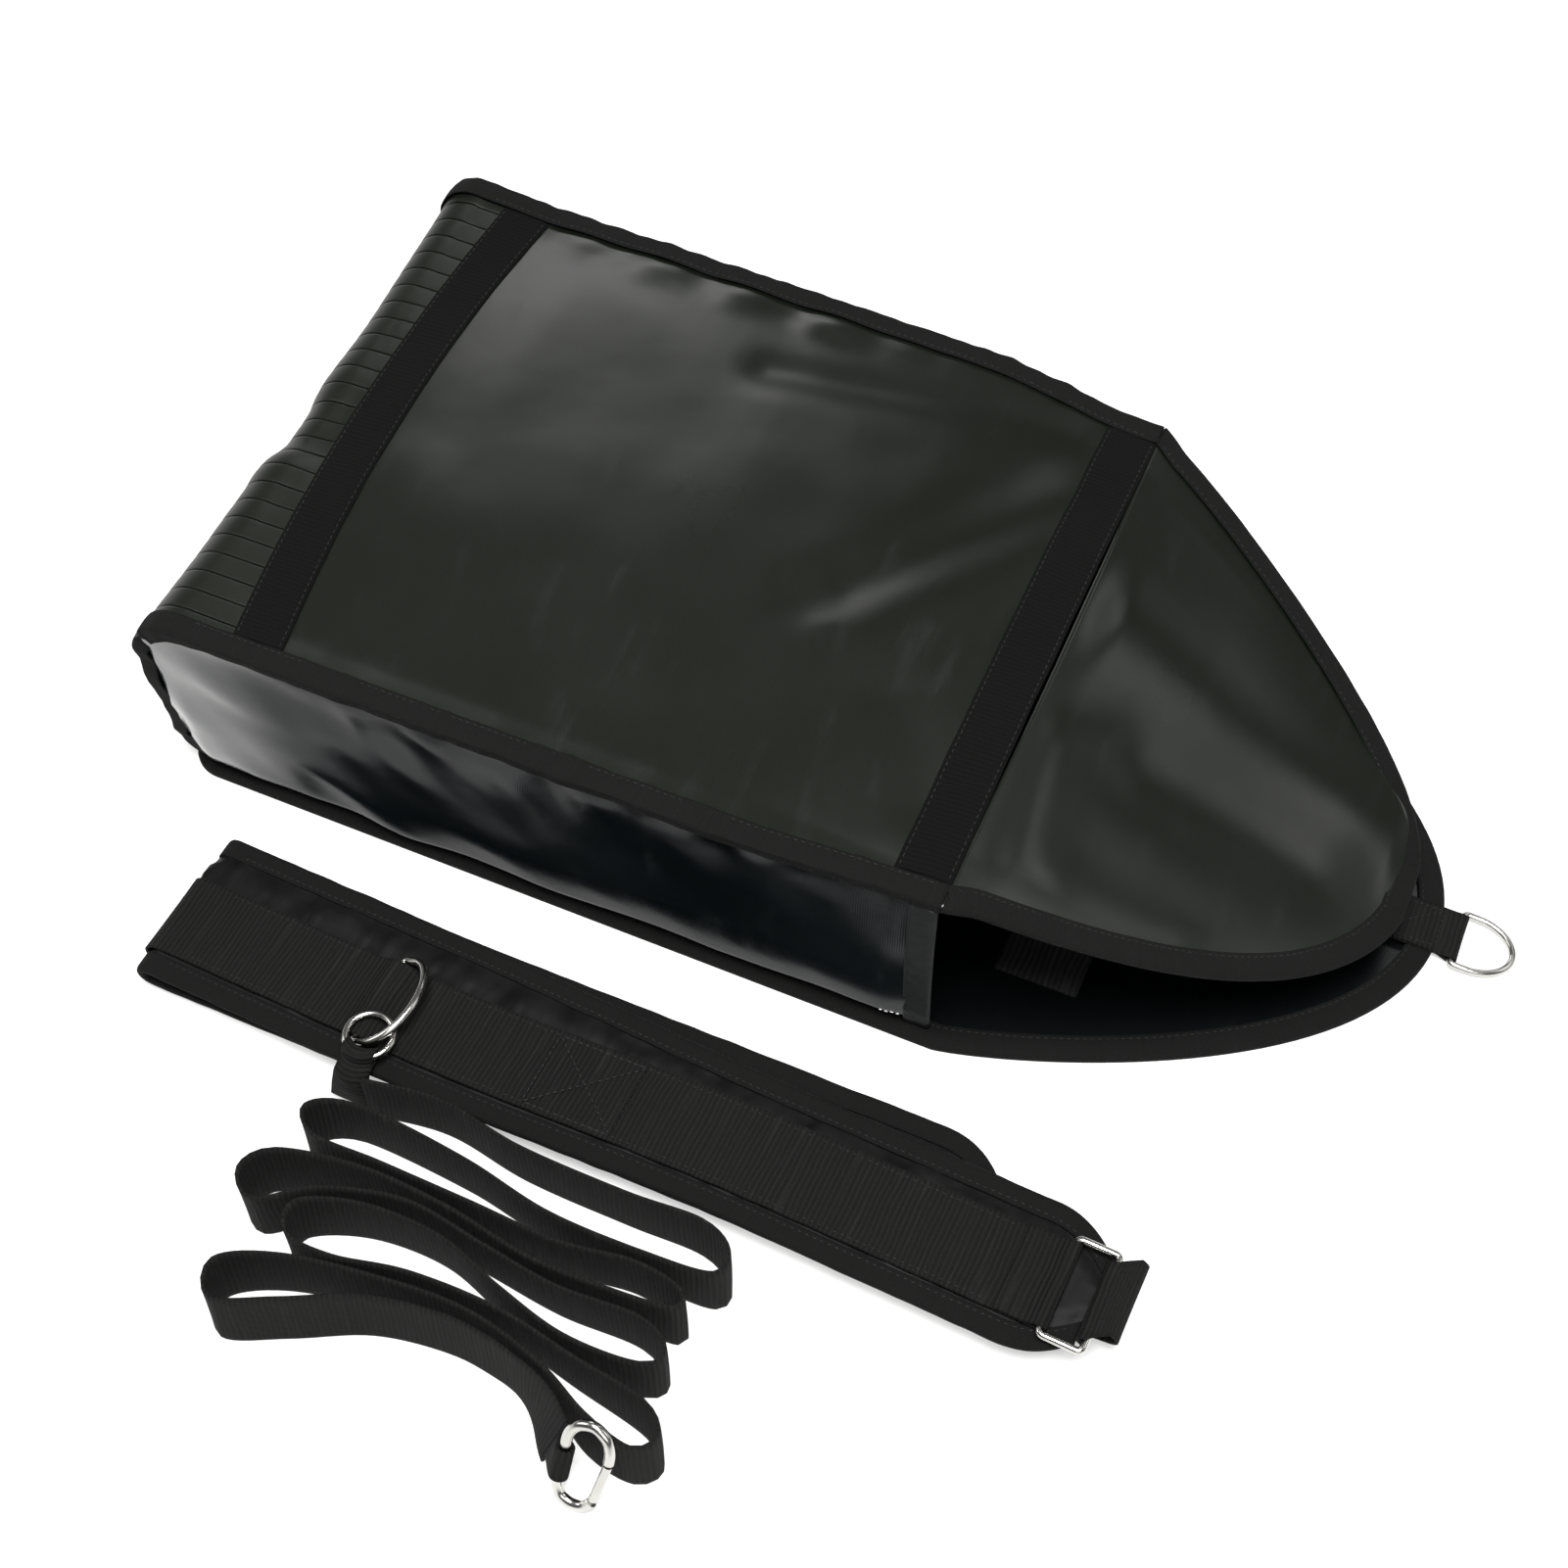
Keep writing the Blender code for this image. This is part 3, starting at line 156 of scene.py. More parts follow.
class NodeKit:
    """Makes the nodes of one material, or of the world."""

    def __init__(self, name: str, world: bool = False) -> None:
        """Start an empty node tree.

        Args:
            name: the material's name, or the world's.
            world: whether it belongs to a world and not to a material.
        """
        self.material = (bpy.data.worlds if world else bpy.data.materials).new(name)
        self.material.use_nodes = True
        self.tree = self.material.node_tree
        self.tree.nodes.clear()

    def node(self, kind: str, values: Mapping[int | str, Any] | None = None,
             **settings: Any) -> bpy.types.Node:
        """Add a node, with its settings first and then its sockets.

        Args:
            kind: the node's type, without its ShaderNode prefix.
            values: numbers, colours or links for its input sockets.
            settings: the node's own properties.

        Returns:
            The node.
        """
        made = self.tree.nodes.new("ShaderNode" + kind)
        for name, value in settings.items():
            setattr(made, name, value)
        for name, value in (values or {}).items():
            socket = made.inputs[name]
            if isinstance(value, Signal):
                self.tree.links.new(value.socket, socket)
            elif isinstance(value, bpy.types.NodeSocket):
                self.tree.links.new(value, socket)
            else:
                socket.default_value = value
        return made

    def maths(self, operation: str, first: Signal | float, second: Signal | float = 0.0) -> Signal:
        """The result of one Math node."""
        made = self.node("Math", {0: first, 1: second}, operation=operation)
        return Signal(self, made.outputs[0])

    def along_and_across(self) -> tuple[Signal, Signal]:
        """The metres along and across the cloth, from the piece's own UV map."""
        split = self.node("SeparateXYZ", {0: self.node("TexCoord").outputs["UV"]})
        return Signal(self, split.outputs[0]), Signal(self, split.outputs[1])

    def axis(self, index: int) -> Signal:
        """The metres along one axis of the row frame."""
        split = self.node("SeparateXYZ", {0: self.node("TexCoord").outputs["Object"]})
        return Signal(self, split.outputs[index])

    def cloud(self, scale: float, detail: float = 3.0, stretch: Colour = (1.0, 1.0, 1.0),
              cloth: bool = False) -> Signal:
        """Smooth noise from 0 to 1.

        Args:
            scale: how many lumps to the metre.
            detail: how many finer layers it has.
            stretch: how the lumps are squeezed along each axis.
            cloth: whether it follows the cloth's UV map and not the object.

        Returns:
            The noise.
        """
        base = self.node("TexCoord").outputs["UV" if cloth else "Object"]
        placed = self.node("Mapping", {"Vector": base, "Scale": stretch}).outputs[0]
        made = self.node("TexNoise", {"Vector": placed, "Scale": scale, "Detail": detail})
        return Signal(self, made.outputs[0])

    def blend(self, share: Signal, first: Colour, second: Colour) -> bpy.types.NodeSocket:
        """A colour between two."""
        made = self.node("Mix", {0: share, 6: (*first, 1.0), 7: (*second, 1.0)}, data_type="RGBA")
        return made.outputs[2]

    def bump(self, height: Signal, distance: float) -> bpy.types.NodeSocket:
        """The normal of a surface that stands this far up where the height is 1."""
        made = self.node("Bump", {"Height": height, "Distance": distance, "Strength": 1.0})
        return made.outputs[0]

    def rays(self, *kinds: str) -> Signal:
        """1 for a ray of one of some kinds, and 0 for any other.

        Args:
            kinds: the names of Light Path's outputs.

        Returns:
            The mask.
        """
        path = self.node("LightPath")
        first, *rest = (Signal(self, path.outputs[kind]) for kind in kinds)
        for other in rest:
            first = first.largest(other)
        return first

    def surface(self, **sockets: Any) -> bpy.types.Material:
        """Finish the material with one Principled shader.

        Args:
            sockets: its inputs, with underscores for spaces.

        Returns:
            The material.
        """
        values = {name.replace("_", " "): value for name, value in sockets.items()}
        shader = self.node("BsdfPrincipled", values)
        output = self.node("OutputMaterial")
        self.tree.links.new(shader.outputs[0], output.inputs["Surface"])
        return self.material


@dataclass(frozen=True)
class CoatedFinish:
    """Coated tarpaulin: a smooth skin over a woven base that just shows through."""

    name: str
    dark: Colour
    light: Colour
    roughness: float
    spread: float
    refraction: float
    pitch: float = 0.0013
    emboss: float = 0.00003
    buckle: float = 0.0002
    coat: float = 0.0
    lean: float = 0.0
    lump: float = 38.0
    # ribs: the pitch of the ribs, whose grooves are painted dark as shade.
    ribs: float = 0.0

    def build(self) -> bpy.types.Material:
        """Build the material.

        Returns:
            The material.
        """
        kit = NodeKit(self.name)
        u, v = kit.along_and_across()
        grid = u.wave(self.pitch) * v.wave(self.pitch)
        smudge = kit.cloud(7.0, 5.0)
        scuff = kit.cloud(60.0, 4.0, (1.0, 0.25, 1.0), cloth=True).between(0.55, 0.8)
        dents = kit.cloud(self.lump, 2.0)
        height = dents * self.buckle + grid * self.emboss
        if self.lean:
            height = height - (kit.axis(2) - 0.012).largest(0.0) * self.lean
        tone = (smudge * 0.7 + scuff * 0.3).between(0.25, 0.75)
        coat = kit.axis(0).between(-0.28, -0.365) * self.coat if self.coat else 0.0
        # The rib grooves are painted shade: their lines are made metallic, so that over the dark
        # base colour they render near black.
        painted_groove_shade: Signal | float = 0.0
        if self.ribs:
            painted_groove_shade = (v + self.ribs / 4).wave(self.ribs).between(0.945, 0.995)
        return kit.surface(
            Base_Color=kit.blend(tone, self.dark, self.light),
            Metallic=painted_groove_shade,
            Roughness=self.roughness + (smudge - 0.5) * self.spread + scuff * 0.05,
            IOR=self.refraction,
            Coat_Weight=coat,
            Coat_Roughness=0.08,
            Coat_IOR=1.8,
            Normal=kit.bump(height, 1.0))


@dataclass(frozen=True)
class WovenFinish:
    """Ribbed webbing or tape: ribs across it, yarns along it, a few paler scuffed yarns and
    painted shade between the ribs.
    """

    name: str
    dark: Colour
    light: Colour
    rib: float
    yarn: float
    relief: float
    roughness: float = 0.82
    pale: float = 0.5

    def build(self) -> bpy.types.Material:
        """Build the material.

        Returns:
            The material.
        """
        kit = NodeKit(self.name)
        u, v = kit.along_and_across()
        wander = kit.cloud(25.0, 2.0, cloth=True) * (self.rib * 1.5)
        ribs = (u + wander).wave(self.rib)
        yarns = v.wave(self.yarn)
        fuzz = kit.cloud(900.0, 2.0, cloth=True)
        streak = kit.cloud(14.0, 4.0, (22.0, 1.0, 1.0), cloth=True).between(0.52, 0.78)
        patch = kit.cloud(9.0, 3.0)
        height = ribs * 0.6 + yarns * 0.25 + fuzz * 0.35
        # The tone is partly painted shade: the ribs' crowns are lighter and their hollows darker,
        # following their height; the streaks and patches are the yarns' own colour.
        tone = ribs * 0.35 + streak * self.pale + patch * 0.25
        return kit.surface(
            Base_Color=kit.blend(tone, self.dark, self.light),
            Roughness=self.roughness + (fuzz - 0.5) * 0.12,
            Specular_IOR_Level=0.12,
            Normal=kit.bump(height, self.relief))


@dataclass(frozen=True)
class PadFinish:
    """Smooth nylon over foam, with fine cross-wise puckers whose hollows are painted darker as
    shade.
    """

    name: str
    dark: Colour
    light: Colour

    def build(self) -> bpy.types.Material:
        """Build the material.

        Returns:
            The material.
        """
        kit = NodeKit(self.name)
        u, v = kit.along_and_across()
        weave = u.wave(0.0009) * v.wave(0.0009)
        pucker = kit.cloud(40.0, 3.0, (1.6, 0.6, 1.0), cloth=True)
        height = weave * 0.00002 + pucker * 0.0003
        return kit.surface(
            # The colour follows the puckers' height: painted shade in their hollows and a painted
            # highlight on their crests.
            Base_Color=kit.blend(pucker.between(0.3, 0.7), self.dark, self.light),
            Roughness=0.52 + (pucker - 0.5) * 0.2,
            Specular_IOR_Level=0.09,
            Normal=kit.bump(height, 1.0))


@dataclass(frozen=True)
class ChromeFinish:
    """Bright plated steel with faint scratches."""

    name: str
    colour: Colour = (0.58, 0.57, 0.54)

    def build(self) -> bpy.types.Material:
        """Build the material.

        Returns:
            The material.
        """
        kit = NodeKit(self.name)
        scratch = kit.cloud(260.0, 4.0, (1.0, 6.0, 1.0))
        cloud = kit.cloud(40.0, 2.0)
        tone = cloud.between(0.3, 0.8)
        dull = tuple(part * 0.86 for part in self.colour)
        return kit.surface(
            Base_Color=kit.blend(tone, dull, self.colour),
            Metallic=1.0,
            Roughness=0.14 + scratch * 0.10,
            Normal=kit.bump(scratch, 0.00003))


@dataclass(frozen=True)
class ThreadFinish:
    """Twisted sewing thread, with painted shade along its twist."""

    name: str
    dark: Colour
    light: Colour

    def build(self) -> bpy.types.Material:
        """Build the material.

        Returns:
            The material.
        """
        kit = NodeKit(self.name)
        # The twist drives both the colour and the bump: its crests are a painted highlight and its
        # hollows painted shade.
        twist = kit.cloud(1500.0, 1.0)
        return kit.surface(
            Base_Color=kit.blend(twist, self.dark, self.light),
            Roughness=0.6,
            Specular_IOR_Level=0.25,
            Normal=kit.bump(twist, 0.0001))


@dataclass(frozen=True)
class FloorFinish:
    """Pale studio floor that keeps the object's shadow and is near white to the camera."""

    name: str
    colour: Colour = (0.92, 0.92, 0.91)
    glow: float = 0.5

    def build(self) -> bpy.types.Material:
        """Build the material.

        Returns:
            The material.
        """
        kit = NodeKit(self.name)
        seen = kit.rays("Is Camera Ray", "Is Glossy Ray", "Is Transmission Ray")
        plain = kit.node("BsdfDiffuse", {"Color": (*self.colour, 1.0)}).outputs[0]
        white = kit.node("Emission", {"Color": (1.0, 1.0, 0.995, 1.0), "Strength": 1.0}).outputs[0]
        mixed = kit.node("MixShader", {0: seen * self.glow, 1: plain, 2: white})
        output = kit.node("OutputMaterial")
        kit.tree.links.new(mixed.outputs[0], output.inputs["Surface"])
        return kit.material


class Finishes:
    """Every finish on the object, built once."""

    def __init__(self) -> None:
        """Build the materials."""
        self.tarpaulin = CoatedFinish("satin_tarpaulin", (0.0026, 0.0037, 0.0019),
                                      (0.0046, 0.0057, 0.0040), 0.285, 0.06, 1.45).build()
        # The ribbed cloth's groove lines are painted shade.
        self.ribbed = CoatedFinish("ribbed_tarpaulin", (0.0026, 0.0036, 0.0017),
                                   (0.0044, 0.0056, 0.0034), 0.42, 0.08, 1.38,
                                   ribs=0.0138).build()
        self.glossy = CoatedFinish("glossy_side_vinyl", (0.0014, 0.0024, 0.0030),
                                   (0.0075, 0.0098, 0.0108), 0.18, 0.06, 1.4,
                                   emboss=0.00003, buckle=0.0003, coat=1.0, lean=0.33).build()
        self.base = CoatedFinish("floor_vinyl", (0.0008, 0.0013, 0.0015),
                                 (0.0016, 0.0024, 0.0026), 0.22, 0.06, 1.45).build()
        self.hem = CoatedFinish("hem_vinyl", (0.0022, 0.0026, 0.0027), (0.008, 0.0086, 0.0088),
                                0.46, 0.15, 1.35, buckle=0.0012, lean=0.60, lump=140.0).build()
        self.webbing = WovenFinish("ribbed_webbing", (0.0022, 0.0023, 0.0021),
                                   (0.0120, 0.0122, 0.0115), 0.0028, 0.0011, 0.0008).build()
        self.strap = WovenFinish("cross_webbing", (0.0006, 0.0008, 0.0006),
                                 (0.0030, 0.0032, 0.0028), 0.0028, 0.0011, 0.0006, 0.95,
                                 0.15).build()
        self.tape = WovenFinish("binding_tape", (0.0020, 0.0022, 0.0019), (0.0070, 0.0073, 0.0068),
                                0.0011, 0.0008, 0.0003, 0.86, 0.25).build()
        self.loop = WovenFinish("loop_strip", (0.005, 0.005, 0.005), (0.035, 0.035, 0.035),
                                0.0034, 0.0008, 0.0008, 0.9, 0.6).build()
        self.padding = PadFinish("nylon_padding", (0.0024, 0.0026, 0.0024),
                                 (0.0052, 0.0054, 0.0051)).build()
        self.chrome = ChromeFinish("bright_chrome").build()
        self.thread = ThreadFinish("black_thread", (0.002, 0.002, 0.002),
                                   (0.014, 0.014, 0.014)).build()
        self.pale_thread = ThreadFinish("white_thread", (0.55, 0.55, 0.54),
                                        (0.8, 0.8, 0.79)).build()
        self.floor = FloorFinish("studio_floor").build()


def add_object(name: str, data: bpy.types.ID) -> bpy.types.Object:
    """Add an object to the scene.

    Args:
        name: its name.
        data: its mesh, lamp or camera.

    Returns:
        The object.
    """
    thing = bpy.data.objects.new(name, data)
    bpy.context.scene.collection.objects.link(thing)
    return thing


def running_lengths(points: Sequence[Vector]) -> list[float]:
    """Measure a line up to each of its points.

    Args:
        points: the line.

    Returns:
        The lengths, which start at 0.
    """
    runs = [0.0]
    for a, b in zip(points, points[1:]):
        runs.append(runs[-1] + (b - a).length)
    return runs


def ease(value: float) -> float:
    """A smooth step from 0 to 1."""
    value = min(max(value, 0.0), 1.0)
    return value * value * (3 - 2 * value)


def ripple(place: float, seed: float, pitch: float) -> float:
    """Smooth noise from -1 to 1 along one line."""
    return noise.noise(Vector((place / pitch, seed, 0.37 * seed)))


def rumple(x: float, y: float, seed: float, pitch: float) -> float:
    """Smooth noise from -1 to 1 over a surface."""
    return noise.noise(Vector((x / pitch, y / pitch, seed)))


def arc(centre: Sequence[float], radius: float, start: float, end: float,
        count: int) -> list[tuple[float, float]]:
    """Points on an arc in a plane, from one angle to another in degrees."""
    angles = [math.radians(start + (end - start) * i / (count - 1)) for i in range(count)]
    return [(centre[0] + radius * math.cos(a), centre[1] + radius * math.sin(a)) for a in angles]


def bezier(points: Sequence[Vector], t: float) -> Vector:
    """A point on a cubic Bezier curve."""
    a, b, c, d = points
    return a * (1 - t) ** 3 + 3 * b * t * (1 - t) ** 2 + 3 * c * t * t * (1 - t) + d * t ** 3


def fold_over(t: float, width: float, leg: float, radius: float) -> tuple[float, float]:
    """Where a place lies on a tape that is bent over a corner.

    Args:
        t: 0 at the inner edge on top, 1 at the lower edge of the side.
        width: how far the tape reaches inward on top.
        leg: how far it reaches down the side.
        radius: the corner's radius.

    Returns:
        How far inward from the side, and how far down from the top.
    """
    flat = width - radius
    corner = math.pi / 2 * radius
    run = t * (flat + corner + leg - radius)
    if run < flat:
        return width - run, 0.0
    if run < flat + corner:
        turn = (run - flat) / radius
        return radius * (1 - math.sin(turn)), radius * (1 - math.cos(turn))
    return 0.0, radius + run - flat - corner


def fold_round(t: float, width: float, radius: float) -> tuple[float, float]:
    """Where a place lies on a tape that is folded round an edge.

    Args:
        t: 0 at the inner edge on top, 1 at the inner edge below.
        width: how far the tape reaches inward on both faces.
        radius: half the distance between its faces.

    Returns:
        How far inward from the rim, and how far up from the middle.
    """
    flat = width - radius
    bend = math.pi * radius
    run = t * (2 * flat + bend)
    if run < flat:
        return width - run, radius
    if run > flat + bend:
        return radius + run - flat - bend, -radius
    turn = (run - flat) / radius
    return radius * (1 - math.sin(turn)), radius * math.cos(turn)


@dataclass(frozen=True)
class Fold:
    """A soft ridge between two places on a sheet, or a valley where its rise is negative."""

    start: tuple[float, float]
    end: tuple[float, float]
    width: float
    rise: float

    def height(self, x: float, y: float) -> float:
        """Work out how high the fold stands.

        Args:
            x: the place along the sheet.
            y: the place across it.

        Returns:
            The height.
        """
        ax, ay = self.start
        bx, by = self.end[0] - ax, self.end[1] - ay
        share = ((x - ax) * bx + (y - ay) * by) / (bx * bx + by * by)
        share = min(max(share, 0.0), 1.0)
        off = math.hypot(x - ax - bx * share, y - ay - by * share)
        return self.rise * math.exp(-(off / self.width) ** 2)


class Line:
    """A smooth line through points, that is asked for places by its length."""

    def __init__(self, points: Sequence[Vector], step: float = 0.002, passes: int = 4) -> None:
        """Resample the points evenly and soften the corners.

        Args:
            points: the points that the line goes through.
            step: the spacing of the new points.
            passes: how many times each point moves towards its neighbours' middle.
        """
        self.points = [Vector(p) for p in points]
        self._measure()
        count = max(2, round(self.length / step))
        fresh = [self.at(i / count) for i in range(count + 1)]
        for _ in range(passes):
            inner = [(a + 2 * b + c) / 4 for a, b, c in zip(fresh, fresh[1:], fresh[2:])]
            fresh = [fresh[0], *inner, fresh[-1]]
        self.points = fresh
        self._measure()

    def _measure(self) -> None:
        """Work out the length up to each point."""
        self.runs = running_lengths(self.points)
        self.length = self.runs[-1]

    def at(self, share: float) -> Vector:
        """Find a point of the line.

        Args:
            share: its share of the length.

        Returns:
            The point.
        """
        run = min(max(share, 0.0), 1.0) * self.length
        low, high = 0, len(self.runs) - 1
        while high - low > 1:
            middle = (low + high) // 2
            if self.runs[middle] <= run:
                low = middle
            else:
                high = middle
        span = self.runs[high] - self.runs[low]
        part = (run - self.runs[low]) / span if span else 0.0
        return self.points[low].lerp(self.points[high], part)

    def toward(self, share: float) -> Vector:
        """The direction at a share of the length."""
        step = 0.0015 / self.length
        return (self.at(share + step) - self.at(share - step)).normalized()


def lay_grid(shape: Shape, along: int, across: int, wrap: Wrap = Wrap.OPEN) -> bmesh.types.BMesh:
    """Lay a grid on a shape, with a UV map that holds the metres along and across it.

    Args:
        shape: gives the place for s along and t across, both from 0 to 1.
        along: how many cells along.
        across: how many cells across.
        wrap: which ways the grid closes on itself.

    Returns:
        The mesh.
    """
    bm = bmesh.new()
    bmesh.ops.create_grid(bm, x_segments=along, y_segments=across, size=0.5)
    cells: dict[tuple[int, int], Vector] = {}
    keys = {}
    for vertex in bm.verts:
        i, j = round((vertex.co.x + 0.5) * along), round((vertex.co.y + 0.5) * across)
        vertex.co = shape(i / along, j / across)
        cells[i, j] = vertex.co.copy()
        keys[vertex] = (i, j)
    middle = across // 2
    us = [0.0]
    for i in range(along):
        us.append(us[-1] + (cells[i + 1, middle] - cells[i, middle]).length)
    vs = {}
    for i in range(along + 1):
        run = 0.0
        for j in range(across + 1):
            if j:
                run += (cells[i, j] - cells[i, j - 1]).length
            vs[i, j] = run
    layer = bm.loops.layers.uv.new("cloth")
    for face in bm.faces:
        for loop in face.loops:
            i, j = keys[loop.vert]
            loop[layer].uv = (us[i], vs[i, j] - vs[i, across] / 2)
    if wrap is not Wrap.OPEN:
        bmesh.ops.remove_doubles(bm, verts=bm.verts, dist=1e-6)
    if wrap is Wrap.ACROSS:
        edges = [edge for edge in bm.edges if edge.is_boundary]
        bmesh.ops.holes_fill(bm, edges=edges, sides=0)
    if wrap in (Wrap.ACROSS, Wrap.BOTH):
        bmesh.ops.recalc_face_normals(bm, faces=bm.faces)
    return bm


def tube(path: Sequence[Vector], radius: float, sides: int = 20,
         closed: bool = False) -> bmesh.types.BMesh:
    """A round wire along a path that lies flat, with its ends closed.

    Args:
        path: the points that its middle follows.
        radius: the wire's radius.
        sides: how many faces go round it.
        closed: whether the path ends where it starts.

    Returns:
        The mesh.
    """
    count = len(path)
    last = count if closed else count - 1

    def shape(s: float, t: float) -> Vector:
        """Place a point of the wire's skin.

        Args:
            s: the share along it.
            t: the share across it.

        Returns:
            The point.
        """
        i = round(s * last)
        before = path[(i - 1) % count] if closed else path[max(i - 1, 0)]
        after = path[(i + 1) % count] if closed else path[min(i + 1, count - 1)]
        forward = (after - before).normalized()
        side = forward.cross(UP).normalized()
        up = side.cross(forward)
        turn = 2 * math.pi * t
        return path[i % count] + (side * math.cos(turn) + up * math.sin(turn)) * radius

    return lay_grid(shape, last, sides, Wrap.BOTH if closed else Wrap.ACROSS)


def make_piece(name: str, bm: bmesh.types.BMesh, material: bpy.types.Material, slot: Slot,
               place: Matrix = BAG_PLACE, body: str = "sled",
               stands_for: Sequence[str] = (), thick: float = 0.0) -> bpy.types.Object:
    """Turn a mesh into a finished piece that rides on a body.

    Args:
        name: the piece's name.
        bm: its mesh, in the frame that place carries.
        material: its finish.
        slot: the slot for that finish, which is not used.
        place: the frame's place in the row frame.
        body: the body that it moves with, or nothing for a piece that is left without one.
        stands_for: the solids that it replaces.
        thick: its thickness, where the mesh is a sheet.

    Returns:
        The piece.
    """
    bm.transform(place)
    mesh = bpy.data.meshes.new(name)
    bm.to_mesh(mesh)
    bm.free()
    mesh.materials.append(material)
    mesh.shade_smooth()
    mesh.set_sharp_from_angle(angle=SHARP_EDGE)
    piece = add_object(name, mesh)
    if thick:
        wall = piece.modifiers.new("thickness", "SOLIDIFY")
        wall.thickness = thick
        wall.offset = 0.0
    if stands_for:
        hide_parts(*stands_for)
    if body:
        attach(piece, body)
    LOG.info("%s: %d faces on %s", name, len(mesh.polygons), body or "two bodies")
    return piece


@dataclass(frozen=True)
class Stitching:
    """A row of sewn stitches, each a small bead half sunk in the cloth."""

    length: float = 0.0030
    pitch: float = 0.0042
    width: float = 0.0007
    height: float = 0.0006

    def sew(self, bm: bmesh.types.BMesh, points: Sequence[Vector],
            up: Sequence[Vector] | None = None) -> None:
        """Add one row of stitches to a mesh.

        Args:
            bm: the mesh that collects the stitches.
            points: the line that the row follows, on the cloth's surface.
            up: the surface's normal at each point, or nothing where it faces up.
        """
        up = up or [UP] * len(points)
        runs = running_lengths(points)
        size = Matrix.Diagonal((self.length / 2, self.width / 2, self.height / 2, 1.0))
        count = max(1, int(runs[-1] / self.pitch))
        spare = (runs[-1] - count * self.pitch) / 2
        index = 0
        for k in range(count):
            run = spare + (k + 0.5) * self.pitch
            while index < len(runs) - 2 and runs[index + 1] < run:
                index += 1
            span = max(runs[index + 1] - runs[index], 1e-9)
            share = (run - runs[index]) / span
            middle = points[index].lerp(points[index + 1], share)
            forward = (points[index + 1] - points[index]).normalized()
            normal = up[index].lerp(up[index + 1], share).normalized()
            side = normal.cross(forward).normalized()
            normal = forward.cross(side)
            turned = Matrix((forward, side, normal)).transposed().to_4x4()
            bmesh.ops.create_icosphere(bm, subdivisions=1, radius=1.0,
                                       matrix=Matrix.Translation(middle) @ turned @ size)


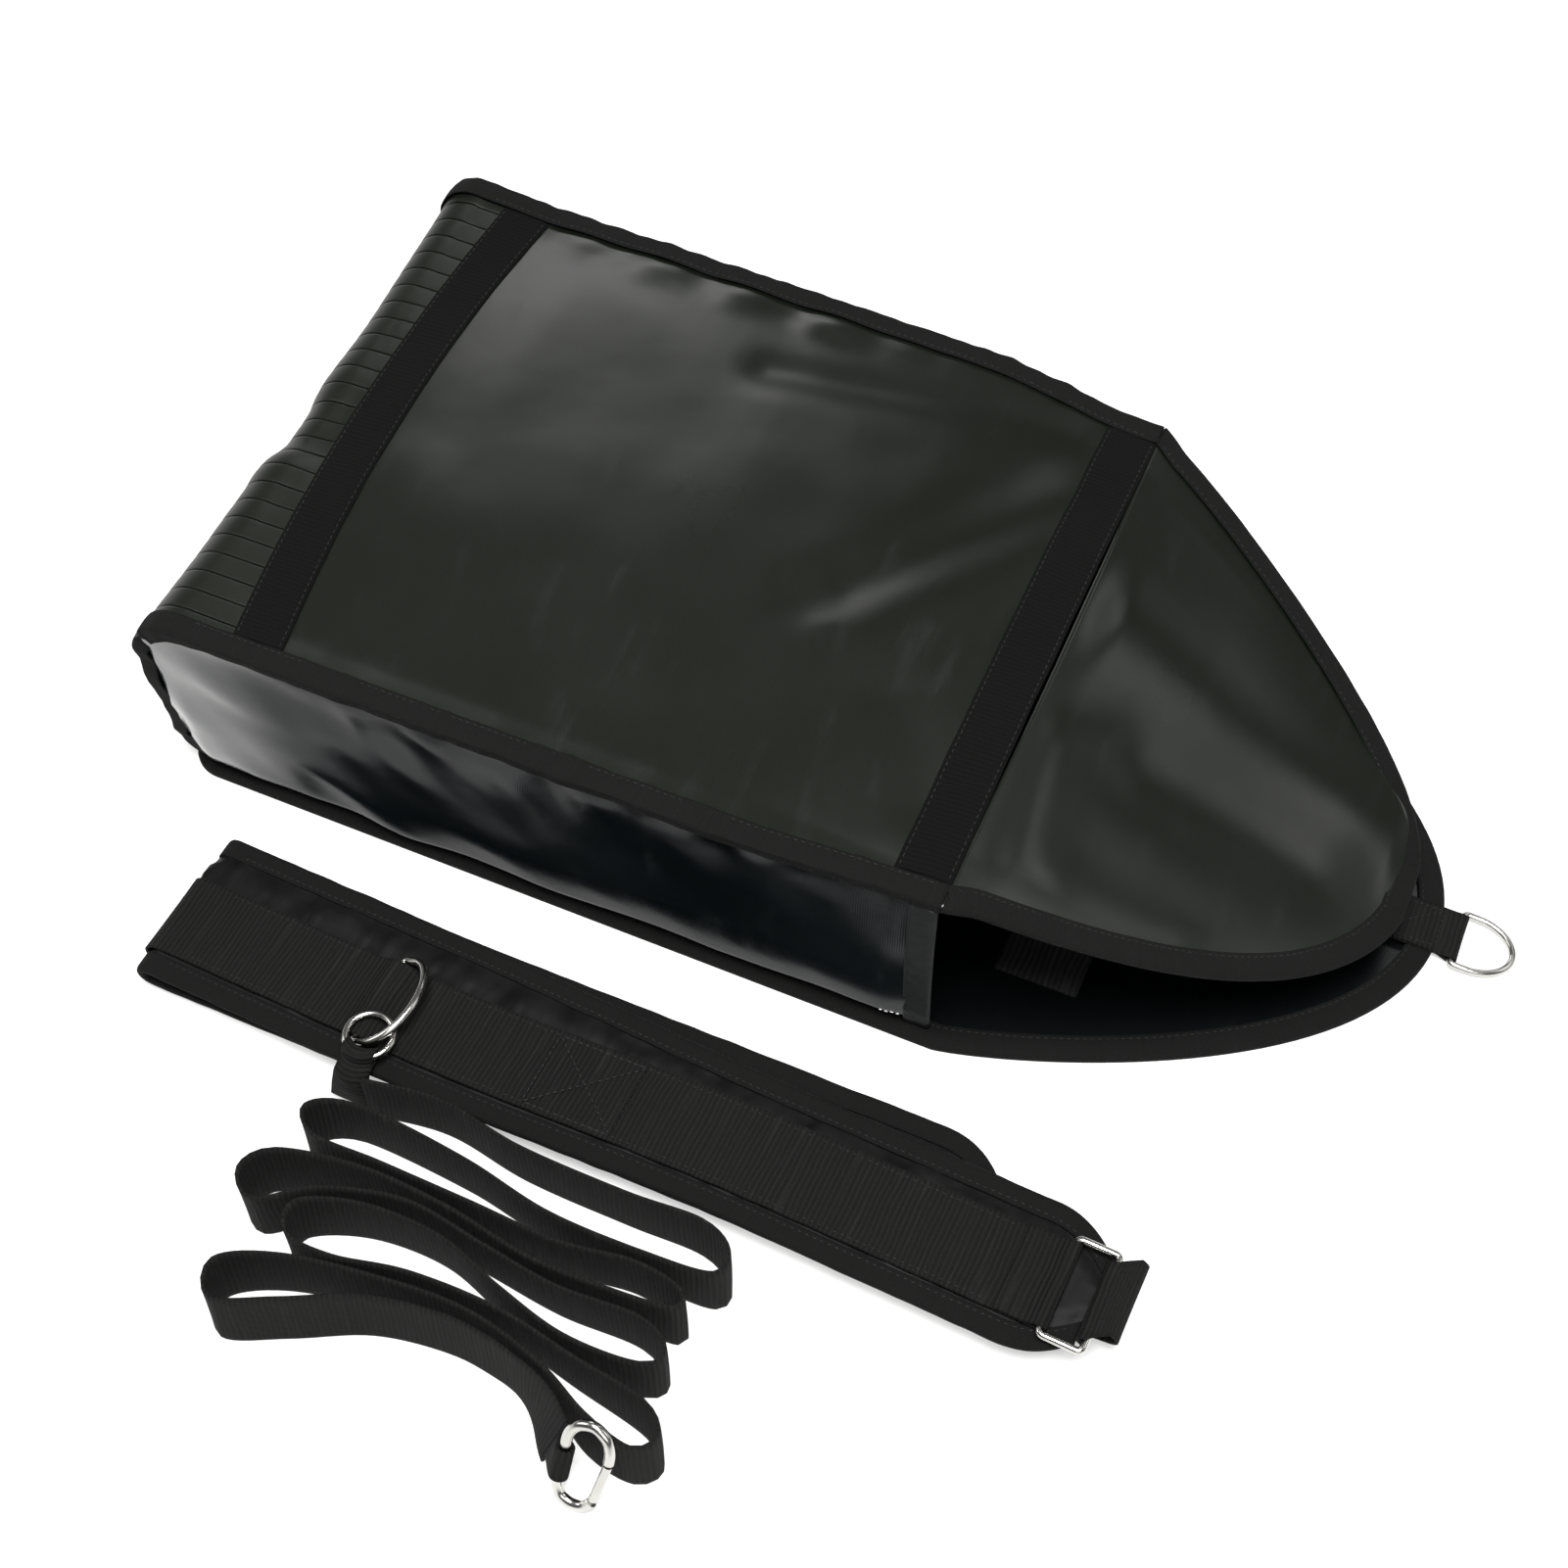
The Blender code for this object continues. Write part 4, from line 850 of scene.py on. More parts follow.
@dataclass
class Bag:
    """The drag bag: its outer sizes, its surfaces and every piece that is sewn to it."""

    finishes: Finishes
    floor_width: float = 0.360
    top_width: float = 0.371
    mouth_width: float = 0.352
    height: float = 0.148
    mouth_x: float = 0.4705
    mouth_height: float = 0.141
    slope_start_x: float = 0.36
    far_lift: float = 0.011
    shoulder: float = 0.032
    heel: float = 0.022
    crown: float = 0.006
    tuck: float = 0.014
    panel: float = 0.0015
    floor: float = 0.002
    gusset: float = 0.0012
    tape: float = 0.001
    tape_width: float = 0.0145
    hem_width: float = 0.0145
    webbing: float = 0.0015
    strap_width: float = 0.030
    strap_x: float = 0.0713
    strap_slant: float = -0.0072
    strap_bow: float = 0.0132
    nose_start_x: float = 0.475
    nose_tip_x: float = 0.710
    bow_power: float = 1.2
    bow_round: float = 0.485
    shell_foot: float = 0.0051
    floor_tape_top: float = 0.0045
    rib_pitch: float = 0.0138
    rib_parts: tuple[float, ...] = (0.0, 0.05, 0.12, 0.3, 0.5, 0.7, 0.88, 0.95)
    corner_lift: float = 0.0075
    corner_reach: float = 0.055
    strap_lap: float = 0.0012
    strap_press: float = 0.0009
    hem_thick: float = 0.0009
    tape_bend: float = 0.0012
    floor_tape_bend: float = 0.0016
    rear_leg: float = 0.010
    top_leg: float = 0.0048
    top_leg_extra: float = 0.0052
    near_crumple: float = 0.0034
    far_crumple: float = 0.0022
    top_crumple: float = 0.0013

    def __post_init__(self) -> None:
        """Work out the middle line, the depth of the panels and the folds."""
        self.mid_y = self.floor_width / 2
        self.sink = self.tape + SEAM + self.panel / 2
        self.side_gap = self.tape + SEAM
        self.front_strap_x = self.mouth_x + self.strap_lap - self.strap_width / 2
        self.folds = (
            Fold((0.345, 0.150), (0.440, 0.283), 0.021, -0.0028),
            Fold((0.365, 0.148), (0.450, 0.250), 0.024, 0.0016),
            Fold((0.250, 0.296), (0.430, 0.330), 0.014, -0.0022),
            Fold((0.262, 0.345), (0.345, 0.352), 0.011, 0.0016),
            Fold((0.340, 0.160), (0.352, 0.140), 0.010, 0.0009),
            Fold((0.120, 0.325), (0.260, 0.285), 0.045, 0.0012),
            Fold((0.410, 0.110), (0.440, 0.060), 0.020, -0.0016),
            Fold((0.100, 0.060), (0.330, 0.060), 0.060, -0.0015),
        )

    def edge_height(self, x: float) -> float:
        """The height of the tape along the near top edge."""
        fall = ease((x - self.slope_start_x) / (self.mouth_x - self.slope_start_x))
        return self.height + (self.mouth_height - self.height) * fall

    def lift(self, x: float, y: float, z: float) -> float:
        """Raise the bag towards its high far rear corner.

        Args:
            x: the place along the bag.
            y: the place across it.
            z: the height over the floor.

        Returns:
            How much higher the place stands.
        """
        across = min(max(y / self.floor_width, 0.0), 1.0)
        along = 1 - ease((x - 0.05) / (self.mouth_x - 0.05))
        corner = self.corner_lift * across ** 7 * math.exp(-(x / self.corner_reach) ** 2)
        rise = self.far_lift * across ** 2 * along + corner
        return rise * ease((z / self.height - 0.5) / 0.45)

    def outer_height(self, x: float, y: float) -> float:
        """The height of the tape's level over the top of the bag."""
        return self.edge_height(x) + self.lift(x, y, self.height)

    def side_half(self, x: float, z: float) -> float:
        """Work out half the bag's width over its tape.

        Args:
            x: the place along the bag.
            z: the height over the floor.

        Returns:
            The half width.
        """
        run = ease((x - self.slope_start_x) / (self.mouth_x - self.slope_start_x))
        share = min(max(z / self.height, 0.0), 1.0)
        pinch = (self.top_width - self.mouth_width) / 2 * run * share
        return self.top_width / 2 - self.tuck * (1 - share) ** 2 - pinch

    def top_relief(self, x: float, y: float) -> float:
        """Work out the top's folds and puckers.

        Args:
            x: the place along the bag.
            y: the place across it.

        Returns:
            How far they stand over the plain surface.
        """
        edge = self.side_half(x, self.height) - abs(y - self.mid_y)
        inner = ease(edge / 0.035)
        broad = sum(fold.height(x, y) for fold in self.folds)
        broad += 0.0012 * rumple(x, y, 3.1, 0.11) + 0.0005 * rumple(x, y, 8.4, 0.045)
        pucker = 0.0
        if y > self.mid_y:
            swell = ease((x - 0.085) / 0.03) * (1 - ease((x - 0.29) / 0.05))
            wave = 0.5 + 0.5 * math.cos(2 * math.pi * (x - 0.098) / 0.058)
            off = abs(edge - 0.020)
            pucker = 0.0024 * swell * wave * math.exp(-(off / 0.012) ** 2)
        crease = 0.0007 * rumple(x * 2.2, y * 0.4, 5.0, 0.05) * math.exp(-(edge / 0.03) ** 2)
        return broad * inner * ease((x - 0.03) / 0.06) + pucker + crease * ease(edge / 0.006)

    def top_surface(self, x: float, y: float) -> float:
        """Work out the middle of the top cloth's thickness.

        Args:
            x: the place along the bag.
            y: the place across it.

        Returns:
            Its height.
        """
        flat = self.mouth_width / 2 - self.tape_width - 0.002
        share = min(abs(y - self.mid_y) / flat, 1.0)
        crown = self.crown * (1 - share * share) * ease((x - self.shoulder) / 0.09)
        return self.outer_height(x, y) - self.sink + crown + self.top_relief(x, y)

    def strap_line(self, w: float) -> float:
        """Where the rear cross strap's middle runs, for w from -1 near to 1 far."""
        return self.strap_x + self.strap_slant * w - self.strap_bow * (1 - w * w)

    def profile(self, inset: float, fine: int = 3) -> list[tuple[float, float]]:
        """Outline the rear wall and shoulder, from the heel up.

        Args:
            inset: how far inside the bag it runs.
            fine: how finely it is divided.

        Returns:
            The points (x, z).
        """
        heel = (self.heel, self.shell_foot + self.heel)
        shoulder = (self.shoulder, self.height - self.shoulder)
        points = arc(heel, self.heel - inset, 270, 180, 5 * fine)
        rise = shoulder[1] - heel[1]
        points += [(inset, heel[1] + rise * i / (3 * fine)) for i in range(1, 3 * fine)]
        return points + arc(shoulder, self.shoulder - inset, 180, 90, 6 * fine)

    def floor_outline(self, inset: float) -> list[Vector]:
        """Outline the floor.

        Args:
            inset: how far inside its tape's outer edge it runs.

        Returns:
            The points round it.
        """
        half = self.floor_width / 2
        near = [(x, -y) for x, y in arc((self.heel, half - self.heel), self.heel, 180, 90, 12)]
        run = self.nose_start_x - self.heel
        near += [(self.heel + run * i / 60, -half) for i in range(1, 60)]
        for i in range(41):
            turn = math.pi / 2 * i / 40
            share = (math.sin(turn) ** 2) ** (1 / self.bow_power)
            near.append((self.nose_start_x + (self.nose_tip_x - self.nose_start_x) * share,
                         -half * max(math.cos(turn), 0.0) ** (2 * self.bow_round)))
        ring = near + [(x, -y) for x, y in reversed(near[:-1])]
        moved = []
        for i, point in enumerate(ring):
            before, after = Vector(ring[i - 1]), Vector(ring[(i + 1) % len(ring)])
            into = (after - before).normalized()
            moved.append(Vector((point[0] - into.y * inset,
                                 self.mid_y + point[1] + into.x * inset, 0.0)))
        return moved

    def build(self) -> None:
        """Build every piece of the bag."""
        self.build_floor()
        self.build_rear()
        self.build_top()
        self.build_straps()
        for label, side in (("near", -1), ("far", 1)):
            self.build_side(label, side)
            self.build_edge_tapes(label, side)
        self.build_stitches()

    def build_floor(self) -> None:
        """The floor cloth and the tape that is folded over its edge."""
        outline = self.floor_outline(self.tape + 2 * TOUCH)
        half = len(outline) // 2
        near = outline[:half + 1]
        far = outline[::-1][:half + 1]

        def floor_shape(s: float, t: float) -> Vector:
            """Place a point of the floor cloth.

            Args:
                s: the share along it.
                t: the share across it.

            Returns:
                The point.
            """
            i = round(s * half)
            place = near[i].lerp(far[i], t)
            inside = ease(min(t, 1 - t) / 0.08) * ease(s / 0.06) * ease((1 - s) / 0.05)
            rise = 0.0005 * inside * (1 + rumple(place.x, place.y, 2.0, 0.06))
            return Vector((place.x, place.y, self.floor / 2 + rise))

        sheet = make_piece("floor_cloth", lay_grid(floor_shape, half, 24), self.finishes.base,
                           Slot.TARPAULIN, stands_for=["bottom_panel"], thick=self.floor - 0.0004)
        outer = self.floor_outline(self.tape / 2)
        inner = self.floor_outline(self.tape_width)
        count = len(outer)
        top = self.floor_tape_top - self.tape / 2

        def tape_shape(s: float, t: float) -> Vector:
            """Place a point of the floor's tape.

            Args:
                s: the share along it.
                t: the share across it.

            Returns:
                The point.
            """
            i = round(s * count) % count
            inward, down = fold_over(t, self.tape_width, top, self.floor_tape_bend)
            share = inward / self.tape_width
            place = outer[i].lerp(inner[i], share)
            rough = 0.3 + 0.7 * (1 - ease(place.x / 0.12))
            wavy = rumple(place.x, place.y, 1.3, 0.020) * 0.0011 * rough
            swell = 0.0006 * math.sin(math.pi * min(share * 1.2, 1.0))
            z = top - down + (swell + abs(wavy)) * (1 - down / top)
            return Vector((place.x, place.y, max(z, self.tape / 2)))

        tape = make_piece("floor_tape", lay_grid(tape_shape, count, 14, Wrap.LOOP),
                          self.finishes.tape, Slot.BINDING, stands_for=["bottom_binding"],
                          thick=self.tape)

    def build_rear(self) -> None:
        """The ribbed rear cloth, which rolls over the shoulder to the rear cross strap."""
        profile = self.profile(self.sink)
        last = len(profile) - 1
        flat_rows = 8
        rows = last + flat_rows
        reach = self.top_width / 2 - self.side_gap
        share = self.rib_pitch / reach
        columns = [(-1.0, 0.5)]
        for k in range(-14, 15):
            columns += [((k + part) * share, part) for part in self.rib_parts
                        if abs((k + part) * share) < 0.998]
        columns.append((1.0, 0.5))
        last_column = len(columns) - 1

        def shape(s: float, t: float) -> Vector:
            """Place a point of the rear cloth.

            Args:
                s: the share from the heel to the strap.
                t: the share across it.

            Returns:
                The point.
            """
            i = round(s * rows)
            w, part = columns[round(t * last_column)]
            x, z = profile[min(i, last)]
            a = profile[max(min(i, last) - 1, 0)]
            b = profile[min(i + 1, last)]
            along = Vector((b[0] - a[0], b[1] - a[1])).normalized()
            out = Vector((-along.y, along.x))
            flat_x = 0.0
            if i > last:
                flat_x = (self.strap_line(w) - TOUCH - x) * (i - last) / flat_rows
                x += flat_x
                out = Vector((0.0, 1.0))
            y = self.mid_y + w * (self.side_half(x, z) - self.side_gap)
            height = self.top_surface(x, y) if i > last else z + self.lift(x, y, z)
            inner = ease((1 - abs(w)) / 0.06)
            dent = Fold((0.0, 0.150), (0.0, 0.172), 0.016, -0.0035).height(0.0, y)
            dent += Fold((0.0, 0.125), (0.0, 0.130), 0.012, 0.0018).height(0.0, y)
            wall = ease((z - 0.05) / 0.06) * (1 - ease(flat_x / 0.03))
            soft = 0.0012 * rumple(y, z, 6.2, 0.07) * inner
            rib = 0.0006 * (part - part * part) - (0.0004 if part == 0 else 0.0)
            push = rib * inner + dent * wall + soft * (0.0 if i > last else 1.0)
            return Vector((x + out.x * push, y, height + out.y * push))

        bm = lay_grid(shape, rows, last_column)
        layer = bm.loops.layers.uv.active
        for face in bm.faces:
            for loop in face.loops:
                x, y, z = loop.vert.co
                wide = self.side_half(x, z - self.lift(x, y, z)) - self.side_gap
                loop[layer].uv.y = (y - self.mid_y) / wide * reach
        sheet = make_piece("rear_cloth", bm, self.finishes.ribbed,
                           Slot.TARPAULIN, stands_for=["rear_panel"], thick=self.panel)

    def build_top(self) -> None:
        """The smooth top cloth between the cross straps."""
        def shape(s: float, t: float) -> Vector:
            """Place a point of the top cloth.

            Args:
                s: the share along it.
                t: the share across it.

            Returns:
                The point.
            """
            w = 2 * t - 1
            start = self.strap_line(w) + TOUCH
            x = start + (self.mouth_x - 0.0005 - start) * s
            y = self.mid_y + w * (self.side_half(x, self.height) - self.side_gap)
            return Vector((x, y, self.top_surface(x, y)))

        self.top_sheet = make_piece("top_cloth", lay_grid(shape, 150, 140),
                                    self.finishes.tarpaulin, Slot.TARPAULIN,
                                    stands_for=["top_panel"], thick=self.panel)

    def over_top(self, middle: float, s: float, w: float) -> Vector:
        """Place a point of a strap that crosses the top.

        Args:
            middle: where the strap's middle runs.
            s: the share across the strap.
            w: from -1 at the near side to 1 at the far side.

        Returns:
            The point.
        """
        x = middle + (2 * s - 1) * self.strap_width / 2
        y = self.mid_y + w * (self.side_half(x, self.height) - self.tape_width - TOUCH)
        rise = self.panel / 2 + 0.0003 + self.webbing / 2
        rise -= self.strap_press * ease((abs(2 * s - 1) - 0.7) / 0.3)
        return Vector((x, y, self.top_surface(x, y) + rise))

    def build_straps(self) -> None:
        """The two webbing straps across the top."""
        for label, middle in (("rear", self.strap_line), ("front", lambda w: self.front_strap_x)):
            def shape(s: float, t: float, middle: Callable[[float], float] = middle) -> Vector:
                """Place a point of one strap.

                Args:
                    s: the share along the strap.
                    t: the share across it.
                    middle: where its middle runs.

                Returns:
                    The point.
                """
                w = 2 * s - 1
                spot = self.over_top(middle(w), t, w)
                wavy = 0.0004 * ripple(spot.y, 2.0 + t, 0.03)
                return spot + Vector((wavy, 0.0, 0.0))

            make_piece(f"{label}_cross_webbing", lay_grid(shape, 180, 14),
                                     self.finishes.strap, Slot.WEBBING,
                                     stands_for=[f"{label}_cross_strap"], thick=self.webbing)

    def wall_y(self, x: float, z: float, side: int) -> float:
        """The middle of the side wall's plain thickness."""
        return self.mid_y + side * (self.side_half(x, z) - self.tape - SEAM - self.gusset / 2)

    def wall_relief(self, x: float, z: float, side: int) -> float:
        """Work out how far the slack side wall stands out of its plain surface.

        Args:
            x: the place along the bag.
            z: the height over the floor.
            side: -1 for the near side, 1 for the far side.

        Returns:
            The distance.
        """
        up = (z - self.shell_foot) / (self.height - self.shell_foot)
        held = ease(up / 0.05) * ease((1 - up) / 0.12) * ease((self.mouth_x - x) / 0.03)
        held *= ease((x - 0.004) / 0.02)
        low = 0.0054 * math.exp(-((z - 0.017) / (0.007 if z < 0.017 else 0.055)) ** 2)
        low *= 1 - 0.35 * ease((x - 0.25) / 0.2)
        slack = 0.0030 * (1 - 0.6 * ease((x - 0.12) / 0.2))
        seed = 4.4 if side < 0 else 7.7
        folds = slack * rumple(x * 1.0 + z * 0.7, z * 1.5, seed, 0.055)
        folds += 0.0010 * rumple(x + z * 0.8, z * 0.8, seed + 2, 0.026) * slack / 0.003
        hang = 0.0012 * math.cos(2 * math.pi * x / 0.047) * ease((up - 0.55) / 0.4)
        hang *= ease((x - 0.10) / 0.05) * (1 - ease((x - 0.36) / 0.06))
        return held * (low + folds + hang)

    def build_side(self, label: str, side: int) -> None:
        """Build one side wall, with the folded hem on its front edge.

        Args:
            label: near or far.
            side: -1 for the near side, 1 for the far side.
        """
        under = self.sink + self.panel / 2 + SEAM
        foot = self.shell_foot
        front = self.mouth_x - 0.0009 - 2 * TOUCH
        bend = (self.heel, foot + self.heel)
        curve = arc(bend, self.heel - under, 270, 180, 9)
        turn = (self.shoulder, self.height - self.shoulder)
        low, high = curve[-1], (under, turn[1])
        curve += [(low[0] + (high[0] - low[0]) * i / 12, low[1] + (high[1] - low[1]) * i / 12)
                  for i in range(1, 12)]
        curve += arc(turn, self.shoulder - under, 180, 90, 12)
        rows = len(curve) - 1
        tall = curve[-1][1] - foot
        side_y = self.mid_y + side * self.top_width / 2

        def wall(s: float, t: float) -> Vector:
            """Place a point of the wall.

            Args:
                s: the share along it.
                t: the share across it.

            Returns:
                The point.
            """
            rear, level = curve[round(t * rows)]
            x = rear + (front - rear) * s
            z = foot + (level - foot) * (self.edge_height(x) - under - foot) / tall
            y = self.wall_y(x, z, side) + side * self.wall_relief(x, z, side)
            return Vector((x, y, z + self.lift(x, side_y, z)))

        sheet = make_piece(f"side_cloth_{label}", lay_grid(wall, 190, rows), self.finishes.glossy,
                           Slot.GLOSSY, stands_for=[f"side_gusset_{label}"], thick=self.gusset)
        top = self.edge_height(self.mouth_x) - 0.004 - SEAM

        def hem(s: float, t: float) -> Vector:
            """Place a point of the hem.

            Args:
                s: the share along it.
                t: the share across it.

            Returns:
                The point.
            """
            z = foot + (top - foot) * s
            inward, up = fold_round(t, self.hem_width,
                                    self.gusset / 2 + SEAM + self.hem_thick / 2)
            x = self.mouth_x - inward - self.hem_thick / 2
            crinkle = 0.0009 * rumple(x, z, 3.3 + side, 0.007) * (inward / self.hem_width)
            return Vector((x, self.wall_y(x, z, side) - side * up + side * crinkle, z))

        edge = make_piece(f"mouth_edge_{label}", lay_grid(hem, 60, 22), self.finishes.hem,
                          Slot.GLOSSY, stands_for=[f"mouth_hem_{label}"], thick=self.hem_thick)

    def edge_place(self, x: float, z: float, out: Sequence[float], side: int, inward: float,
                   down: float) -> Vector:
        """Place a point of a tape that is bent over the bag's top or rear edge.

        Args:
            x: the edge's place along the bag.
            z: the edge's height.
            out: the direction out of the bag there.
            side: -1 for the near side, 1 for the far side.
            inward: how far in from the side the point lies.
            down: how far it lies inside the edge.

        Returns:
            The point.
        """
        px, pz = x - out[0] * down, z - out[1] * down
        y = self.mid_y + side * (self.side_half(px, pz) - inward)
        return Vector((px, y, pz + self.lift(x, self.mid_y + side * self.top_width / 2, z)))

    def build_edge_tapes(self, label: str, side: int) -> None:
        """Build the tape down the rear edge and the tape along the top edge of one side.

        Args:
            label: near or far.
            side: -1 for the near side, 1 for the far side.
        """
        profile = self.profile(self.tape / 2, 4)
        path = []
        for i, (x, z) in enumerate(profile):
            a, b = profile[max(i - 1, 0)], profile[min(i + 1, len(profile) - 1)]
            along = Vector((b[0] - a[0], b[1] - a[1])).normalized()
            path.append((x, z, (-along.y, along.x)))
        split = len(profile) - 11

        def dressed(rows: list[tuple], leg: float, extra: float, crumple: float,
                    seed: float) -> bmesh.types.BMesh:
            """Lay a crumpled tape along an edge.

            Args:
                rows: the edge's x, z and direction out.
                leg: how far it reaches down the side.
                extra: how much further it reaches at its start.
                crumple: how deep its waves are.
                seed: which waves it has.

            Returns:
                The mesh.
            """
            count = len(rows) - 1

            def shape(s: float, t: float) -> Vector:
                """Place a point of the tape.

                Args:
                    s: the share along it.
                    t: the share across it.

                Returns:
                    The point.
                """
                x, z, out = rows[round(s * count)]
                deep = leg + extra * (1 - ease(s * 8))
                inward, down = fold_over(t, self.tape_width - 0.0005, deep, self.tape_bend)
                place = self.edge_place(x, z, out, side, inward + self.tape / 2, down)
                run = x + z
                rough = crumple * (ripple(run, seed, 0.011) + 0.6 * ripple(run, seed + 3, 0.027))
                rough *= (0.5 + 0.5 * t) * (1 - ease((x - self.mouth_x + 0.035) / 0.03))
                swell = 0.0006 * math.sin(math.pi * min(inward / self.tape_width, 1.0))
                relief = self.top_relief(place.x, place.y) if out[1] > 0.95 else 0.0
                push = swell * (1 - t) + rough * (1 - 0.5 * t)
                shift = Vector((out[0] * push, side * rough * t, out[1] * push + relief * (1 - t)))
                if inward < self.tape_width * 0.5:
                    return place + shift
                return place + shift + Vector((0.0, -side * 0.5 * rough, 0.0))

            return lay_grid(shape, count, 16)

        crumple = self.near_crumple if side < 0 else self.far_crumple
        make_piece(f"rear_tape_{label}", dressed(path[4:split + 1], self.rear_leg, 0.0, crumple,
                                                11.0 + side),
                   self.finishes.tape, Slot.BINDING, stands_for=[f"rear_binding_{label}"],
                   thick=self.tape)
        last = path[-1][0]
        run = self.mouth_x + 0.0010 - last
        rest = [last + run * i / 150 for i in range(1, 151)]
        rows = path[split:] + [(x, self.edge_height(x) - self.tape / 2, (0.0, 1.0)) for x in rest]
        make_piece(f"top_tape_{label}", dressed(rows, self.top_leg, self.top_leg_extra,
                                               self.top_crumple, 21.0 + side),
                   self.finishes.tape, Slot.BINDING, stands_for=[f"top_binding_{label}"],
                   thick=self.tape)

    def build_stitches(self) -> None:
        """The stitch rows along the straps and tapes, and the loose pale stitches at the mouth."""
        seam = Stitching()
        bm = bmesh.new()
        rise = UP * (self.webbing / 2 + 0.0001)
        shares = [i / 60 for i in range(61)]
        for middle in (self.strap_line, lambda w: self.front_strap_x):
            for t in (0.07, 0.93):
                seam.sew(bm, [self.over_top(middle(2 * s - 1), t, 2 * s - 1) + rise
                              for s in shares])
        for side in (-1, 1):
            run = self.mouth_x - 0.045
            line = []
            for s in shares:
                x = 0.04 + run * s
                place = self.edge_place(x, self.edge_height(x), (0.0, 1.0), side,
                                        self.tape_width - STITCH_INSET, 0.0)
                line.append(place + UP * (self.top_relief(x, place.y) + 0.0003))
            seam.sew(bm, line)
        seam.sew(bm, [place + UP * (self.floor_tape_top + 0.0002)
                      for place in self.floor_outline(self.tape_width - STITCH_INSET)])
        make_piece("bag_stitches", bm, self.finishes.thread, Slot.BINDING)
        bm = bmesh.new()
        pale = Stitching(length=0.0024, pitch=0.0034, width=0.0009, height=0.0008)
        line = []
        for i in range(6):
            x, z = 0.4405 + 0.003 * i, 0.0145 + 0.0012 * (i % 2)
            off = self.wall_relief(x, z, -1) + self.gusset / 2 + 0.0004
            line.append(Vector((x, self.wall_y(x, z, -1) - off, z)))
        pale.sew(bm, line, [Vector((0.0, -1.0, 0.3))] * len(line))
        make_piece("pale_stitches", bm, self.finishes.pale_thread, Slot.BINDING)


